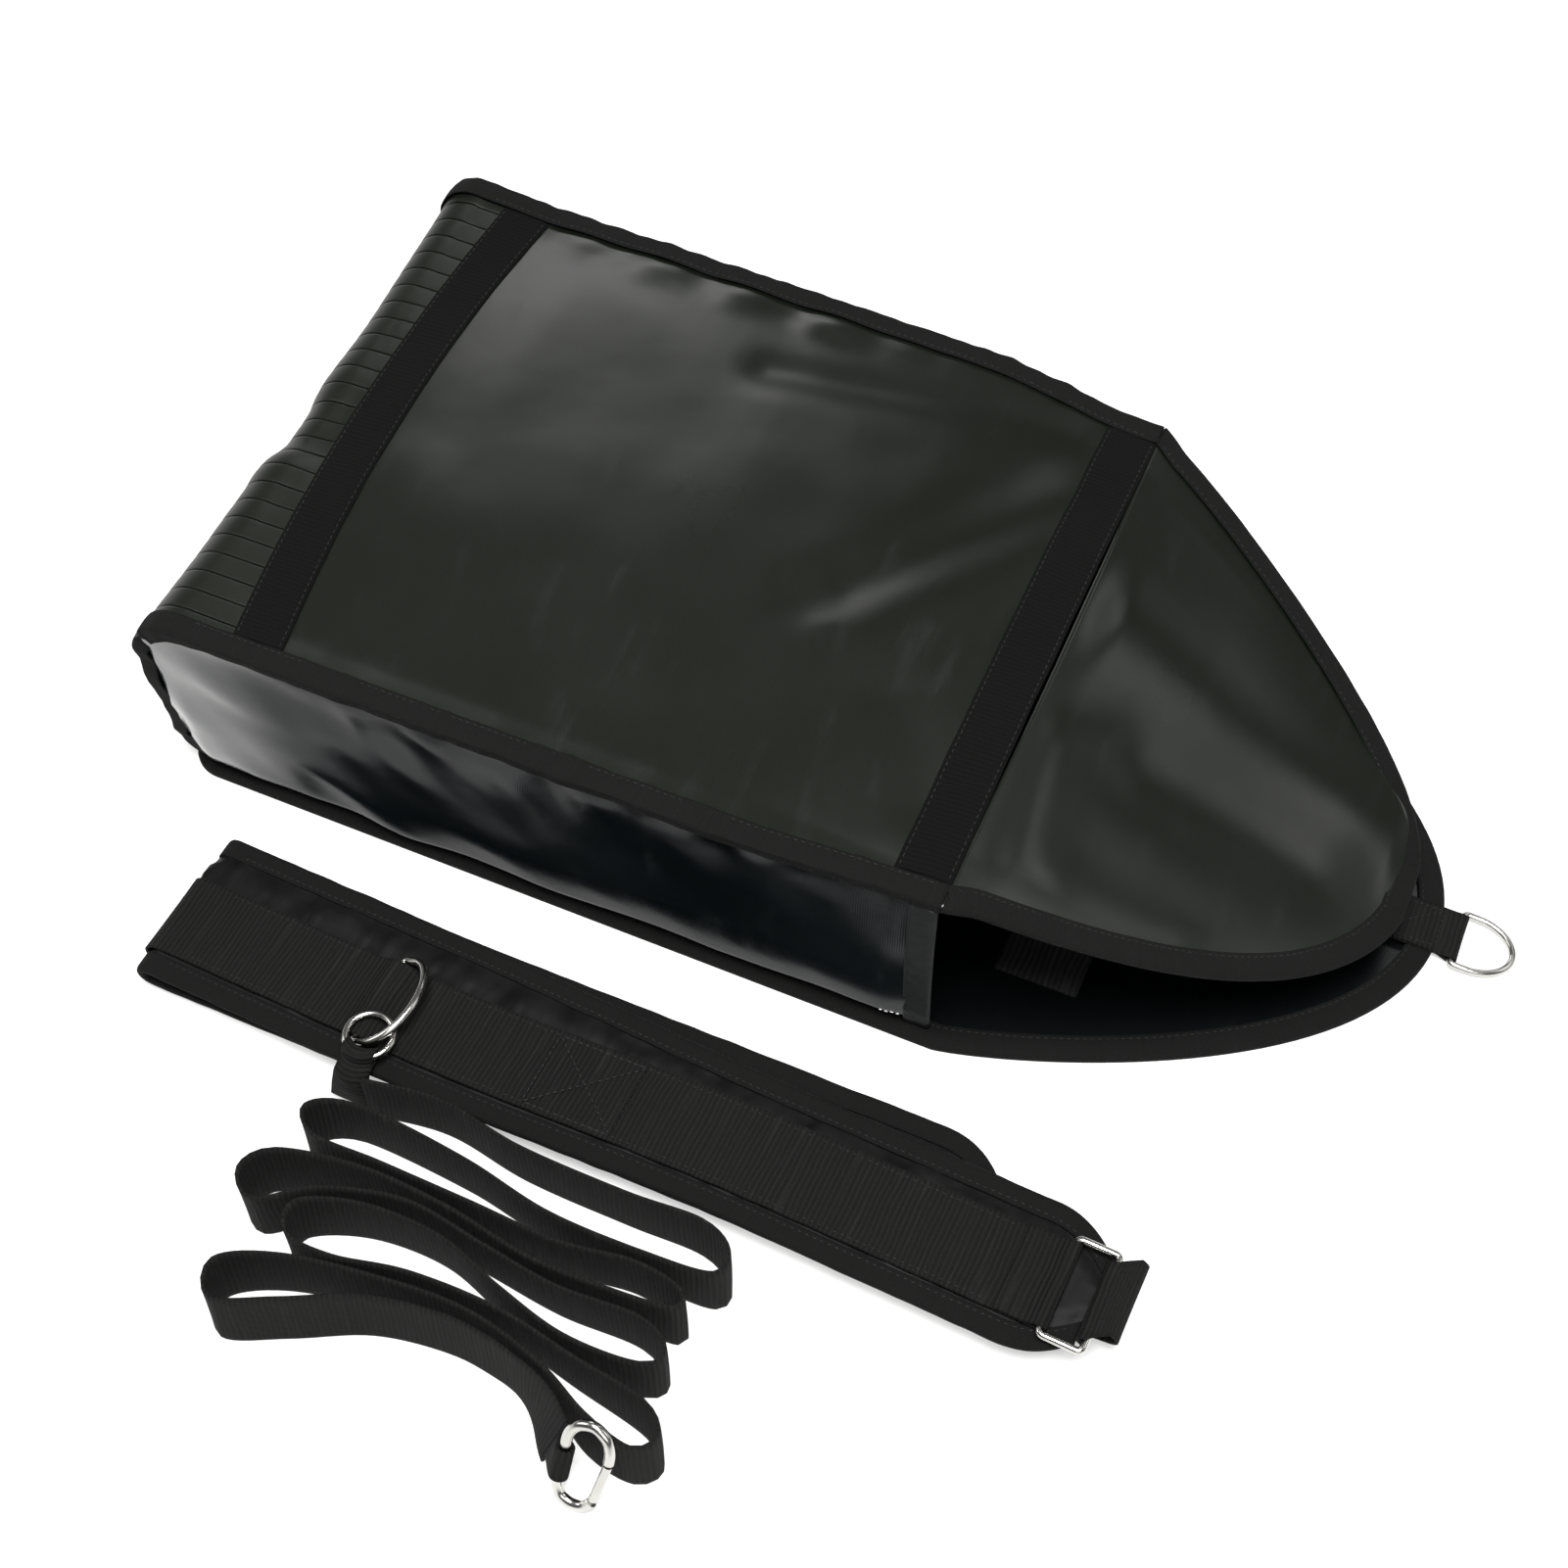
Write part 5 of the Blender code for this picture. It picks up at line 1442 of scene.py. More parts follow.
@dataclass
class Flap:
    """The nose flap that droops from the mouth's top edge, and the closure strips under it."""

    finishes: Finishes
    bag: Bag
    bow_x: float = 0.450
    half_width: float = 0.1785
    seam: float = 0.0014
    tip_inset: float = 0.0215
    tip_blunt: float = 0.0020
    tip_height: float = 0.0312
    rim: float = 0.0016
    seam_spread: float = 0.0035
    strip_thick: float = 0.0018
    hook_half: float = 0.090
    loop_half: float = 0.120
    loop_length: float = 0.048
    loop_gap: float = 0.0425
    hinge_height: float = 0.1455
    hinge_reach: float = 0.022

    def __post_init__(self) -> None:
        """Work out the droop's ends and the folds, which are placed by the run and across."""
        self.tip_x = self.bag.nose_tip_x - self.tip_inset
        start_z = self.bag.mouth_height - self.bag.sink
        start = Vector((self.bag.mouth_x + self.seam, start_z))
        end = Vector((self.tip_x - self.tip_blunt, self.tip_height))
        run = end - start
        self.droop = (start, start + Vector((run.x * 0.27, run.y * 0.25)),
                      start + Vector((run.x * 0.68, run.y * 0.86)), end)
        self.folds = (
            Fold((0.480, 0.216), (0.655, 0.202), 0.036, 0.0050),
            Fold((0.535, 0.150), (0.630, 0.166), 0.029, -0.0046),
            Fold((0.478, 0.120), (0.498, 0.055), 0.020, 0.0032),
            Fold((0.520, 0.052), (0.580, 0.062), 0.020, 0.0024),
        )

    def middle(self, t: float) -> Vector:
        """The flap's middle line (x, z) at a share of its droop."""
        return bezier(self.droop, t)

    def normal(self, t: float) -> Vector:
        """The flap's upward normal at a share of its droop."""
        along = (self.middle(min(t + 0.01, 1.0)) - self.middle(max(t - 0.01, 0.0))).normalized()
        return Vector((-along.y, 0.0, along.x))

    def half(self, x: float) -> float:
        """Half the flap's width over its tape."""
        share = min(max((x - self.bow_x) / (self.tip_x - self.bow_x), 0.0), 1.0)
        return self.half_width * (1 - share ** self.bag.bow_power) ** self.bag.bow_round

    def relief(self, x: float, y: float, t: float, w: float) -> float:
        """Work out how far the flap's folds stand out of its plain surface.

        Args:
            x: the place along the bag.
            y: the place across it.
            t: the share of its droop.
            w: from -1 at the near edge to 1 at the far edge.

        Returns:
            The distance.
        """
        bulge = self.bag.crown * (1 - min(abs(w) / 0.8, 1.0) ** 2) * (1 - ease(t / 0.7))
        held = ease((1 - abs(w)) / 0.22) * ease((1 - t) / 0.10)
        folds = sum(fold.height(x, y) for fold in self.folds)
        folds += 0.0010 * rumple(x, y, 12.0, 0.07)
        joined = 1 - ease(t / 0.12)
        return bulge + folds * held * (1 - joined) + self.bag.top_relief(x, y) * joined

    def place(self, t: float, w: float, off: float = 0.0) -> Vector:
        """A point of the flap.

        Args:
            t: the share of its droop, from the seam to the tip.
            w: from -1 at the near edge to 1 at the far edge.
            off: how far it stands off the cloth's middle.

        Returns:
            The point.
        """
        x, z = self.middle(t)
        spread = self.seam_spread * (1 - ease(t / 0.1))
        half = self.half(x) - self.bag.tape - 2 * TOUCH + spread
        y = self.bag.mid_y + w * half
        rise = self.relief(x, y, t, w) + off
        return Vector((x, y, z)) + self.normal(t) * rise

    def build(self) -> None:
        """Build the flap, its tape, its stitches and the closure strips."""
        def cloth(s: float, t: float) -> Vector:
            """Place a point of the cloth."""
            return self.place(math.sin(math.pi / 2 * s) - 0.0075 * (1 - s), 2 * t - 1)

        sheet = make_piece("flap_cloth", lay_grid(cloth, 120, 110), self.finishes.tarpaulin,
                           Slot.TARPAULIN, body="", stands_for=["front_flap"],
                           thick=self.bag.panel)
        downs = [math.sin(math.pi / 2 * i / 110) for i in range(111)]
        blunt = [(1.0, -1.0 + 2.0 * i / 12) for i in range(1, 12)]
        edge = [(t, -1.0) for t in downs] + blunt + [(t, 1.0) for t in downs[::-1]]
        ring = [self.place(t, w) for t, w in edge]
        count = len(edge) - 1
        frames = []
        for i, point in enumerate(ring):
            up = self.normal(edge[i][0])
            along = (ring[min(i + 1, count)] - ring[max(i - 1, 0)]).normalized()
            inward = up.cross(along).normalized()
            if i in (0, count):
                inward = Vector((0.0, self.bag.mid_y - point.y, 0.0)).normalized()
            frames.append((point - inward * (self.bag.tape / 2 + 2 * TOUCH), inward, up))

        def tape(s: float, t: float) -> Vector:
            """Place a point of the tape round the flap.

            Args:
                s: the share along it.
                t: the share across it.

            Returns:
                The point.
            """
            i = round(s * count)
            corner, inward, up = frames[i]
            across, high = fold_round(t, self.bag.tape_width, self.rim)
            puff = 0.0005 * math.sin(math.pi * min(across / self.bag.tape_width, 1.0))
            puff += 0.0004 * ripple(i * 0.004, 31.0, 0.02)
            return corner + inward * across + up * (high + math.copysign(puff, high))

        binding = make_piece("flap_tape", lay_grid(tape, count, 26), self.finishes.tape,
                             Slot.BINDING, body="", stands_for=["flap_binding"],
                             thick=self.bag.tape)
        bm = bmesh.new()
        line = [corner + inward * (self.bag.tape_width - STITCH_INSET) + up * (self.rim + 0.0007)
                for corner, inward, up in frames[2:-2]]
        Stitching().sew(bm, line, [up for _, _, up in frames[2:-2]])
        stitches = make_piece("flap_stitches", bm, self.finishes.thread, Slot.BINDING, body="")

        def hook(s: float, t: float) -> Vector:
            """Place a point of the hook strip.

            Args:
                s: the share along it.
                t: the share across it.

            Returns:
                The point.
            """
            down = 0.30 + 0.18 * s
            x, _ = self.middle(down)
            w = (2 * t - 1) * self.hook_half / self.half(x)
            return self.place(down, w, -(self.bag.panel / 2 + SEAM + self.strip_thick / 2))

        strip = make_piece("hook_strip", lay_grid(hook, 12, 36), self.finishes.loop, Slot.WEBBING,
                           body="", stands_for=["closure_hook_strip"],
                           thick=self.strip_thick)
        for piece in (sheet, binding, stitches, strip):
            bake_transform(piece)

        def loop(s: float, t: float) -> Vector:
            """Place a point of the loop strip.

            Args:
                s: the share along it.
                t: the share across it.

            Returns:
                The point.
            """
            x = self.bag.mouth_x + self.loop_gap + (s - 0.5) * self.loop_length
            y = self.bag.mid_y + (2 * t - 1) * self.loop_half
            rise = 0.0004 * (1 + rumple(x, y, 15.0, 0.02))
            return Vector((x, y, self.bag.floor + TOUCH + self.strip_thick / 2 + rise))

        make_piece("loop_strip", lay_grid(loop, 14, 60), self.finishes.loop, Slot.WEBBING,
                   stands_for=["closure_loop_strip"], thick=self.strip_thick)


def ribbon(path: Line, width: float, thick: float, count: int, across: int = 8,
           middle: Callable[[Vector], float] = lambda p: 0.0,
           relief: Callable[[Vector, float], float] = lambda p, w: 0.0) -> bmesh.types.BMesh:
    """A band that follows a line of (x, z), with its width along y.

    Args:
        path: the line, with x and y of each point for x and z of the band.
        width: the band's width.
        thick: how much its edges are thinned by rounding.
        count: how many cells along it.
        across: how many cells across it.
        middle: where the band's middle lies along y.
        relief: how far a place, from -1 to 1 across, stands out of the band.

    Returns:
        The mesh.
    """
    def shape(s: float, t: float) -> Vector:
        """Place a point of the band.

        Args:
            s: the share along it.
            t: the share across it.

        Returns:
            The point.
        """
        point = path.at(s)
        along = path.toward(s)
        w = 2 * t - 1
        bow = thick * 0.12 * (1 - w * w) - relief(point, w)
        y = middle(point) + w * width / 2
        wavy = 0.00025 * ripple(s * path.length, 3.0 + round(w), 0.012) * abs(w)
        return Vector((point.x - along.y * bow, y + wavy, point.y + along.x * bow))

    return lay_grid(shape, count, across)


@dataclass(frozen=True)
class RingShape:
    """A bent wire ring: a straight bar at x = 0 and a bow or a second bar beyond it."""

    half: float
    depth: float
    corner: float = 0.0028
    oblong: bool = False

    def path(self) -> list[Vector]:
        """Trace the ring's middle line.

        Returns:
            The points round it.
        """
        half, depth, r = self.half, self.depth, self.corner
        points = [(0.0, -half + r + (2 * half - 2 * r) * i / 12) for i in range(12)]
        points += arc((r, half - r), r, 180, 90, 7)
        if self.oblong:
            points += arc((depth - r, half - r), r, 90, 0, 7)
            points += [(depth, half - r - (2 * half - 2 * r) * i / 12) for i in range(1, 12)]
            points += arc((depth - r, r - half), r, 0, -90, 7)
        else:
            straight = depth * 0.25
            for i in range(37):
                turn = math.radians(82 - 164 * i / 36)
                points.append((straight + (depth - straight) * math.cos(turn),
                               half * math.sin(turn)))
        points += arc((r, -half + r), r, 270, 180, 7)[:-1]
        return [Vector((x, y, 0.0)) for x, y in points]


@dataclass
class Towing:
    """The webbing tab at the nose and the ring in its fold."""

    finishes: Finishes
    bag: Bag
    width: float = 0.030
    rear_x: float = 0.664
    ring_x: float = 0.7195
    web: float = 0.0013
    wire: float = 0.0040
    ring_z: float = 0.0042
    rest: float = 3.4
    ring_half: float = 0.0175
    ring_depth: float = 0.0315

    def build(self) -> None:
        """Build the tab, its stitches and the ring."""
        level = self.bag.floor_tape_top + TOUCH + self.web / 2
        turn = self.wire / 2 + TOUCH + self.web / 2
        upper = level + self.web + TOUCH
        neck = self.ring_x - 0.0085
        points = [(self.rear_x, level), (neck, level), (neck + 0.0035, level - 0.0018)]
        points += arc((self.ring_x, self.ring_z), turn, 235, 450, 15)
        points += [(neck + 0.0035, upper - 0.0002), (neck, upper), (self.rear_x + 0.008, upper)]
        line = Line([Vector((x, z)) for x, z in points], 0.0012, 1)
        make_piece("towing_tab", ribbon(line, self.width, self.web, 110, 10,
                                        lambda p: self.bag.mid_y),
                   self.finishes.webbing, Slot.WEBBING, stands_for=["nose_tab"], thick=self.web)
        bm = bmesh.new()
        top = upper + self.web / 2 + 0.0002
        y0, y1 = self.bag.mid_y - self.width / 2 + 0.003, self.bag.mid_y + self.width / 2 - 0.003
        x0, x1 = self.rear_x + 0.011, neck - 0.002
        corners = [(x0, y0), (x1, y0), (x1, y1), (x0, y1), (x0, y0), (x1, y1)]
        for a, b in zip(corners, corners[1:]):
            Stitching(pitch=0.0036).sew(bm, [Vector((*a, top)), Vector((*b, top))])
        make_piece("tab_stitches", bm, self.finishes.thread, Slot.WEBBING)
        place = (BAG_PLACE @ Matrix.Translation((self.ring_x, self.bag.mid_y, self.ring_z))
                 @ Matrix.Rotation(math.radians(self.rest), 4, "Y"))
        ring = tube(RingShape(self.ring_half, self.ring_depth).path(), self.wire / 2, closed=True)
        make_piece("towing_ring_wire", ring, self.finishes.chrome, Slot.STEEL, place,
                   "towing_ring", ["nose_d_ring"])


@dataclass
class Belt:
    """The padded waist belt, folded back on itself, with its webbing, rings and closing strap."""

    finishes: Finishes
    half_width: float = 0.0475
    top_end: float = 0.548
    back_end: float = 0.478
    pad: float = 0.007
    edge: float = 0.003
    edge_width: float = 0.012
    gap: float = 0.006
    skew: float = 0.036
    end_round: float = 0.040
    end_taper: float = 0.016
    curl: float = 0.006
    top_move: float = 0.002
    bend_start: float = 0.15
    bend_end: float = 0.38
    web: float = 0.0015
    web_width: float = 0.049
    web_y: float = -0.009
    web_move: float = 0.0075
    web_inset: float = 0.002
    folded_end: float = 0.505
    tape: float = 0.001
    ring_x: float = 0.139
    ring_wire: float = 0.0045
    end_ring_x: float = 0.530
    end_wire: float = 0.0040
    end_length: float = 0.023
    box: tuple[float, float] = (0.238, 0.289)
    cells: int = 420
    frames: int = 16
    puff: float = 0.0012
    closing_width: float = 0.044
    closing_bend: float = 0.0040
    ring_half: float = 0.0275
    ring_depth: float = 0.027
    ring_tilt: float = -30.0

    def __post_init__(self) -> None:
        """Work out the levels of the layers and the pad's middle line."""
        self.turn = (self.pad + self.gap) / 2
        self.back_z = TOUCH + self.web + TOUCH + self.pad / 2
        self.top_z = self.back_z + 2 * self.turn
        self.turn_x = self.turn + self.pad / 2 + self.web + 2 * TOUCH
        self.web_top = self.top_z + self.pad / 2 + TOUCH + self.web / 2
        self.web_back = TOUCH + self.web / 2
        self.ring_z = self.top_z + self.pad / 2 + TOUCH + self.ring_wire / 2
        self.end_turn = self.end_wire / 2 + TOUCH + self.web / 2
        self.end_z = self.web_top + self.end_turn
        middle = self.back_z + self.turn
        points = [Vector((self.top_end, self.top_z)), Vector((self.turn_x, self.top_z))]
        points += [Vector(p) for p in arc((self.turn_x, middle), self.turn, 90, 270, 25)]
        points += [Vector((self.back_end, self.back_z))]
        self.line = Line(points, 0.0018, 1)

    def back_shift(self, x: float, z: float) -> float:
        """How far the lower layer has slid to the far side."""
        return self.skew * x * ease((self.top_z - z) / (self.top_z - self.back_z))

    def top_share(self, x: float, z: float) -> float:
        """How far along its bend a place on the upper layer is."""
        upward = ease((z - self.back_z) / (self.top_z - self.back_z))
        return upward * ease((x - self.bend_start) / (self.bend_end - self.bend_start))

    def pad_y(self, x: float, z: float) -> float:
        """Where the pad's middle lies across the belt."""
        return self.back_shift(x, z) + self.top_move * self.top_share(x, z)

    def web_middle(self, point: Vector) -> float:
        """Where the webbing's middle lies across the belt."""
        x, z = point
        return self.web_y + self.back_shift(x, z) + self.web_move * self.top_share(x, z)

    def half(self, x: float, z: float) -> float:
        """Work out half the pad's width over its tape.

        Args:
            x: the place along the belt.
            z: its height.

        Returns:
            The half width.
        """
        end = self.top_end if z > self.back_z + self.turn else self.back_end
        share = min(max((x - (end - self.end_round)) / self.end_round, 0.0), 1.0)
        return (self.half_width - self.curl * self.top_share(x, z)
                - self.end_taper * share ** 2.5)

    def build(self) -> None:
        """Build every piece of the belt."""
        self.build_pad()
        self.build_tapes()
        self.build_webbing()
        self.build_closing()
        self.build_rings()
        self.build_stitches()

    def pad_place(self, s: float, y_share: float, high: float) -> Vector:
        """Place a point of the pad.

        Args:
            s: the share along the pad.
            y_share: from -1 at the near edge to 1 at the far edge.
            high: how far out of its middle it lies.

        Returns:
            The point.
        """
        point, along = self.line.at(s), self.line.toward(s)
        half = self.half(point.x, point.y) - self.tape - 2 * TOUCH
        out = Vector((along.y, -along.x))
        y = self.pad_y(point.x, point.y) + y_share * half
        return Vector((point.x + out.x * high, y, point.y + out.y * high))

    def pad_thick(self, y: float, half: float) -> float:
        """Work out half the pad's thickness.

        Args:
            y: the distance from its middle.
            half: half its width.

        Returns:
            The half thickness.
        """
        flat = half - self.edge_width
        if y >= flat:
            rim = min((y - flat) / (half - flat), 1.0)
            return self.edge / 2 * math.sqrt(max(1 - rim ** 6, 0.0))
        return self.edge / 2 + (self.pad - self.edge) / 2 * ease((flat - y) / 0.009) ** 0.6

    def build_pad(self) -> None:
        """The foam pad in its nylon cover, swollen by a short cloth simulation."""
        def shape(s: float, t: float) -> Vector:
            """Place a point of the pad's skin.

            Args:
                s: the share along it.
                t: the share round it.

            Returns:
                The point.
            """
            turn = 2 * math.pi * t
            share = math.cos(turn)
            point = self.line.at(s)
            half = self.half(point.x, point.y) - self.tape - 2 * TOUCH
            high = self.pad_thick(abs(share) * half, half) * (1 if math.sin(turn) >= 0 else -1)
            if abs(abs(share) - 1) < 1e-9:
                high = 0.0
            pinch = 1 - 0.05 * abs(ripple(s * self.line.length, 17.0, 0.018))
            return self.pad_place(s, share, high * pinch)

        pad = make_piece("belt_foam", lay_grid(shape, self.cells, 40, Wrap.ACROSS),
                         self.finishes.padding, Slot.PADDING, BELT_PLACE,
                         stands_for=["belt_pad"])
        self.swell(pad)

    def swell(self, pad: bpy.types.Object) -> None:
        """Let the cover puff out between its sewn edges.

        Args:
            pad: the pad, whose rim stays where it is sewn.
        """
        rest = [vertex.co.copy() for vertex in pad.data.vertices]
        sewn = pad.vertex_groups.new(name="sewn")
        inverse = BELT_PLACE.inverted()
        for vertex in pad.data.vertices:
            spot = inverse @ vertex.co
            shift = self.pad_y(spot.x, spot.z)
            half = self.half(spot.x, spot.z)
            inside = (half - abs(spot.y - shift)) / self.edge_width
            sewn.add([vertex.index], 1.0 if inside < 0.95 else 0.35, "REPLACE")
        cloth = pad.modifiers.new("cover", "CLOTH")
        for name, value in (
            ("quality", 4), ("mass", 0.2), ("tension_stiffness", 12),
            ("compression_stiffness", 12), ("bending_stiffness", 0.3), ("use_pressure", True),
            ("uniform_pressure_force", 4.0), ("vertex_group_mass", "sewn"), ("shrink_min", -0.03),
        ):
            setattr(cloth.settings, name, value)
        cloth.settings.effector_weights.gravity = 0.0
        cloth.point_cache.frame_start, cloth.point_cache.frame_end = 1, self.frames
        for step in range(1, self.frames + 1):
            bpy.context.scene.frame_set(step)
        graph = bpy.context.evaluated_depsgraph_get()
        swollen = [vertex.co.copy() for vertex in pad.evaluated_get(graph).data.vertices]
        pad.modifiers.remove(cloth)
        for vertex, before, after in zip(pad.data.vertices, rest, swollen):
            move = after - before
            if move.length > self.puff:
                move *= self.puff / move.length
            vertex.co = before + move
        pad.vertex_groups.remove(sewn)
        bpy.context.scene.frame_set(1)

    def build_tapes(self) -> None:
        """The tape folded round the pad's two long edges."""
        for label, side in (("near", -1), ("far", 1)):
            def shape(s: float, t: float, side: int = side) -> Vector:
                """Place a point of one tape.

                Args:
                    s: the share along it.
                    t: the share across it.
                    side: -1 for the near side, 1 for the far side.

                Returns:
                    The point.
                """
                point, along = self.line.at(s), self.line.toward(s)
                half = self.half(point.x, point.y) - self.tape / 2
                inward, up = fold_round(t, self.edge_width, self.edge / 2 + TOUCH + self.tape / 2)
                out = Vector((along.y, -along.x))
                wavy = 0.0004 * ripple(s * self.line.length, 41.0 + side, 0.014)
                y = self.pad_y(point.x, point.y) + side * (half - inward + wavy)
                return Vector((point.x + out.x * up, y, point.y + out.y * up))

            make_piece(f"belt_tape_{label}", lay_grid(shape, self.cells, 22),
                       self.finishes.tape, Slot.BINDING, BELT_PLACE,
                       stands_for=[f"belt_binding_{label}"], thick=self.tape)

    def build_webbing(self) -> None:
        """The belt's webbing, from its fold round the end ring to the end of the lower layer."""
        fold_z = self.web_top + self.web + TOUCH
        over_bar = self.ring_z + self.ring_wire / 2 + TOUCH + self.web / 2
        points = [(self.folded_end, fold_z), (self.end_ring_x - 0.009, fold_z),
                  (self.end_ring_x - 0.005, fold_z + 0.0018)]
        points += arc((self.end_ring_x, self.end_z), self.end_turn, 125, -90, 17)
        points += [(0.500, self.web_top)]
        hump = [(0.016, self.web_top), (0.010, self.web_top + 0.0006), (0.003, over_bar - TOUCH)]
        points += [(self.ring_x + x, z) for x, z in hump]
        points += [(self.ring_x - x, z) for x, z in reversed(hump)]
        turn = (self.web_top - self.web_back) / 2
        points += arc((self.turn_x, self.web_back + turn), turn, 90, 270, 25)
        points += [(self.back_end - self.web_inset, self.web_back)]
        self.web_line = Line([Vector(p) for p in points], 0.0012, 1)
        x0, x1 = self.box
        ends = (x0, -0.9), (x0, 0.9), (x1, -0.9), (x1, 0.9)
        seams = [Fold(ends[a], ends[b], 0.0009, 1.0) for a, b in ((0, 1), (2, 3), (0, 3), (1, 2))]

        def pressed(point: Vector, w: float) -> float:
            """Work out how the sewn box presses the webbing.

            Args:
                point: the place along it.
                w: from -1 to 1 across it.

            Returns:
                How far it stands out.
            """
            if not x0 - 0.003 < point.x < x1 + 0.003 or point.y < self.top_z:
                return 0.0
            half = self.web_width / 2
            spots = [Fold((f.start[0], f.start[1] * half), (f.end[0], f.end[1] * half),
                          f.width, f.rise) for f in seams]
            inside = x0 < point.x < x1
            deep = max(spot.height(point.x, w * half) for spot in spots)
            return (0.0004 if inside else 0.0) - 0.0008 * deep

        make_piece("belt_band", ribbon(self.web_line, self.web_width, self.web, 900, 32,
                                       self.web_middle, pressed),
                   self.finishes.webbing, Slot.WEBBING, BELT_PLACE, stands_for=["belt_webbing"],
                   thick=self.web)

    def build_closing(self) -> None:
        """The closing strap, up from the lower layer and loosely round the end ring."""
        bar = Vector((self.end_ring_x + self.end_length, self.end_z))
        bend = Vector((0.5630, 0.0180))
        radius = self.closing_bend
        lean = math.degrees(math.atan2(bend.x - bar.x, bar.y - bend.y))
        climb = math.degrees(math.atan2(bend.y - radius - self.web_back, bend.x - 0.500))
        points = [(self.back_end - self.web_inset + TOUCH, self.web_back), (0.500, self.web_back)]
        points += arc(bend, radius, -90 + climb, lean, 13)
        over = arc(bar, self.end_turn + 0.0016, lean, lean + 175, 17)
        points += over + [(over[-1][0] + 0.004, over[-1][1] - 0.0038)]
        low, high = self.back_shift(self.back_end, self.back_z), self.web_move

        def middle(point: Vector) -> float:
            """Find where the strap's middle lies across the belt.

            Args:
                point: the place along the strap.

            Returns:
                The place across.
            """
            if point.y < bend.y:
                return self.web_y + low
            share = min(max((point.x - bar.x) / (bend.x - bar.x), 0.0), 1.0)
            return self.web_y + high + (low - high) * share

        line = Line([Vector(p) for p in points], 0.0012, 1)
        make_piece("closing_band", ribbon(line, self.closing_width, self.web, 130, 8, middle),
                   self.finishes.webbing, Slot.WEBBING, BELT_PLACE,
                   stands_for=["belt_closing_strap"], thick=self.web)

    def build_rings(self) -> None:
        """The D-ring at the back of the belt and the oblong ring at its end."""
        place = (BELT_PLACE @ Matrix.Translation((self.ring_x, self.web_y, self.ring_z))
                 @ Matrix.Rotation(math.radians(self.ring_tilt), 4, "Y"))
        ring = tube(RingShape(self.ring_half, self.ring_depth).path(), self.ring_wire / 2,
                    closed=True)
        make_piece("belt_back_ring", ring, self.finishes.chrome, Slot.STEEL, place, "back_ring",
                   ["belt_d_ring"])
        place = BELT_PLACE @ Matrix.Translation((self.end_ring_x, self.web_y + self.web_move,
                                                 self.end_z))
        loop = RingShape(self.ring_half, self.end_length, oblong=True)
        make_piece("belt_end_loop", tube(loop.path(), self.end_wire / 2, closed=True),
                   self.finishes.chrome, Slot.STEEL, place, "end_ring", ["belt_end_ring"])

    def on_web(self, x: float, across: float) -> Vector:
        """A place on the upper webbing's top face."""
        y = self.web_middle(Vector((x, self.web_top))) + across
        return Vector((x, y, self.web_top + self.web / 2 + 0.0003))

    def build_stitches(self) -> None:
        """The sewn box on the webbing, and the rows along its edges and along the tapes."""
        bm = bmesh.new()
        box = Stitching(length=0.0034, pitch=0.0040, width=0.0011, height=0.0009)
        w = self.web_width / 2 - 0.003
        x0, x1 = self.box
        corners = ((x0, -w), (x0, w), (x1, w), (x1, -w), (x0, w), (x0, -w), (x1, w), (x1, -w),
                   (x0, -w))
        for a, b in zip(corners, corners[1:]):
            row = [self.on_web(a[0] + (b[0] - a[0]) * i / 8, a[1] + (b[1] - a[1]) * i / 8)
                   for i in range(9)]
            box.sew(bm, row)
        seam = Stitching()
        for side in (-1, 1):
            for start, run, count in ((0.03, 0.085, 20), (0.17, 0.33, 60)):
                seam.sew(bm, [self.on_web(start + run * i / count, side * w)
                              for i in range(count + 1)])
            row = []
            for i in range(90):
                x = 0.02 + (self.top_end - 0.025) * i / 89
                half = self.half(x, self.top_z) - self.edge_width + 0.002
                y = self.pad_y(x, self.top_z) + side * half
                row.append(Vector((x, y, self.top_z + self.edge / 2 + TOUCH + self.tape)))
            seam.sew(bm, row)
        make_piece("belt_stitches", bm, self.finishes.thread, Slot.WEBBING, BELT_PLACE)


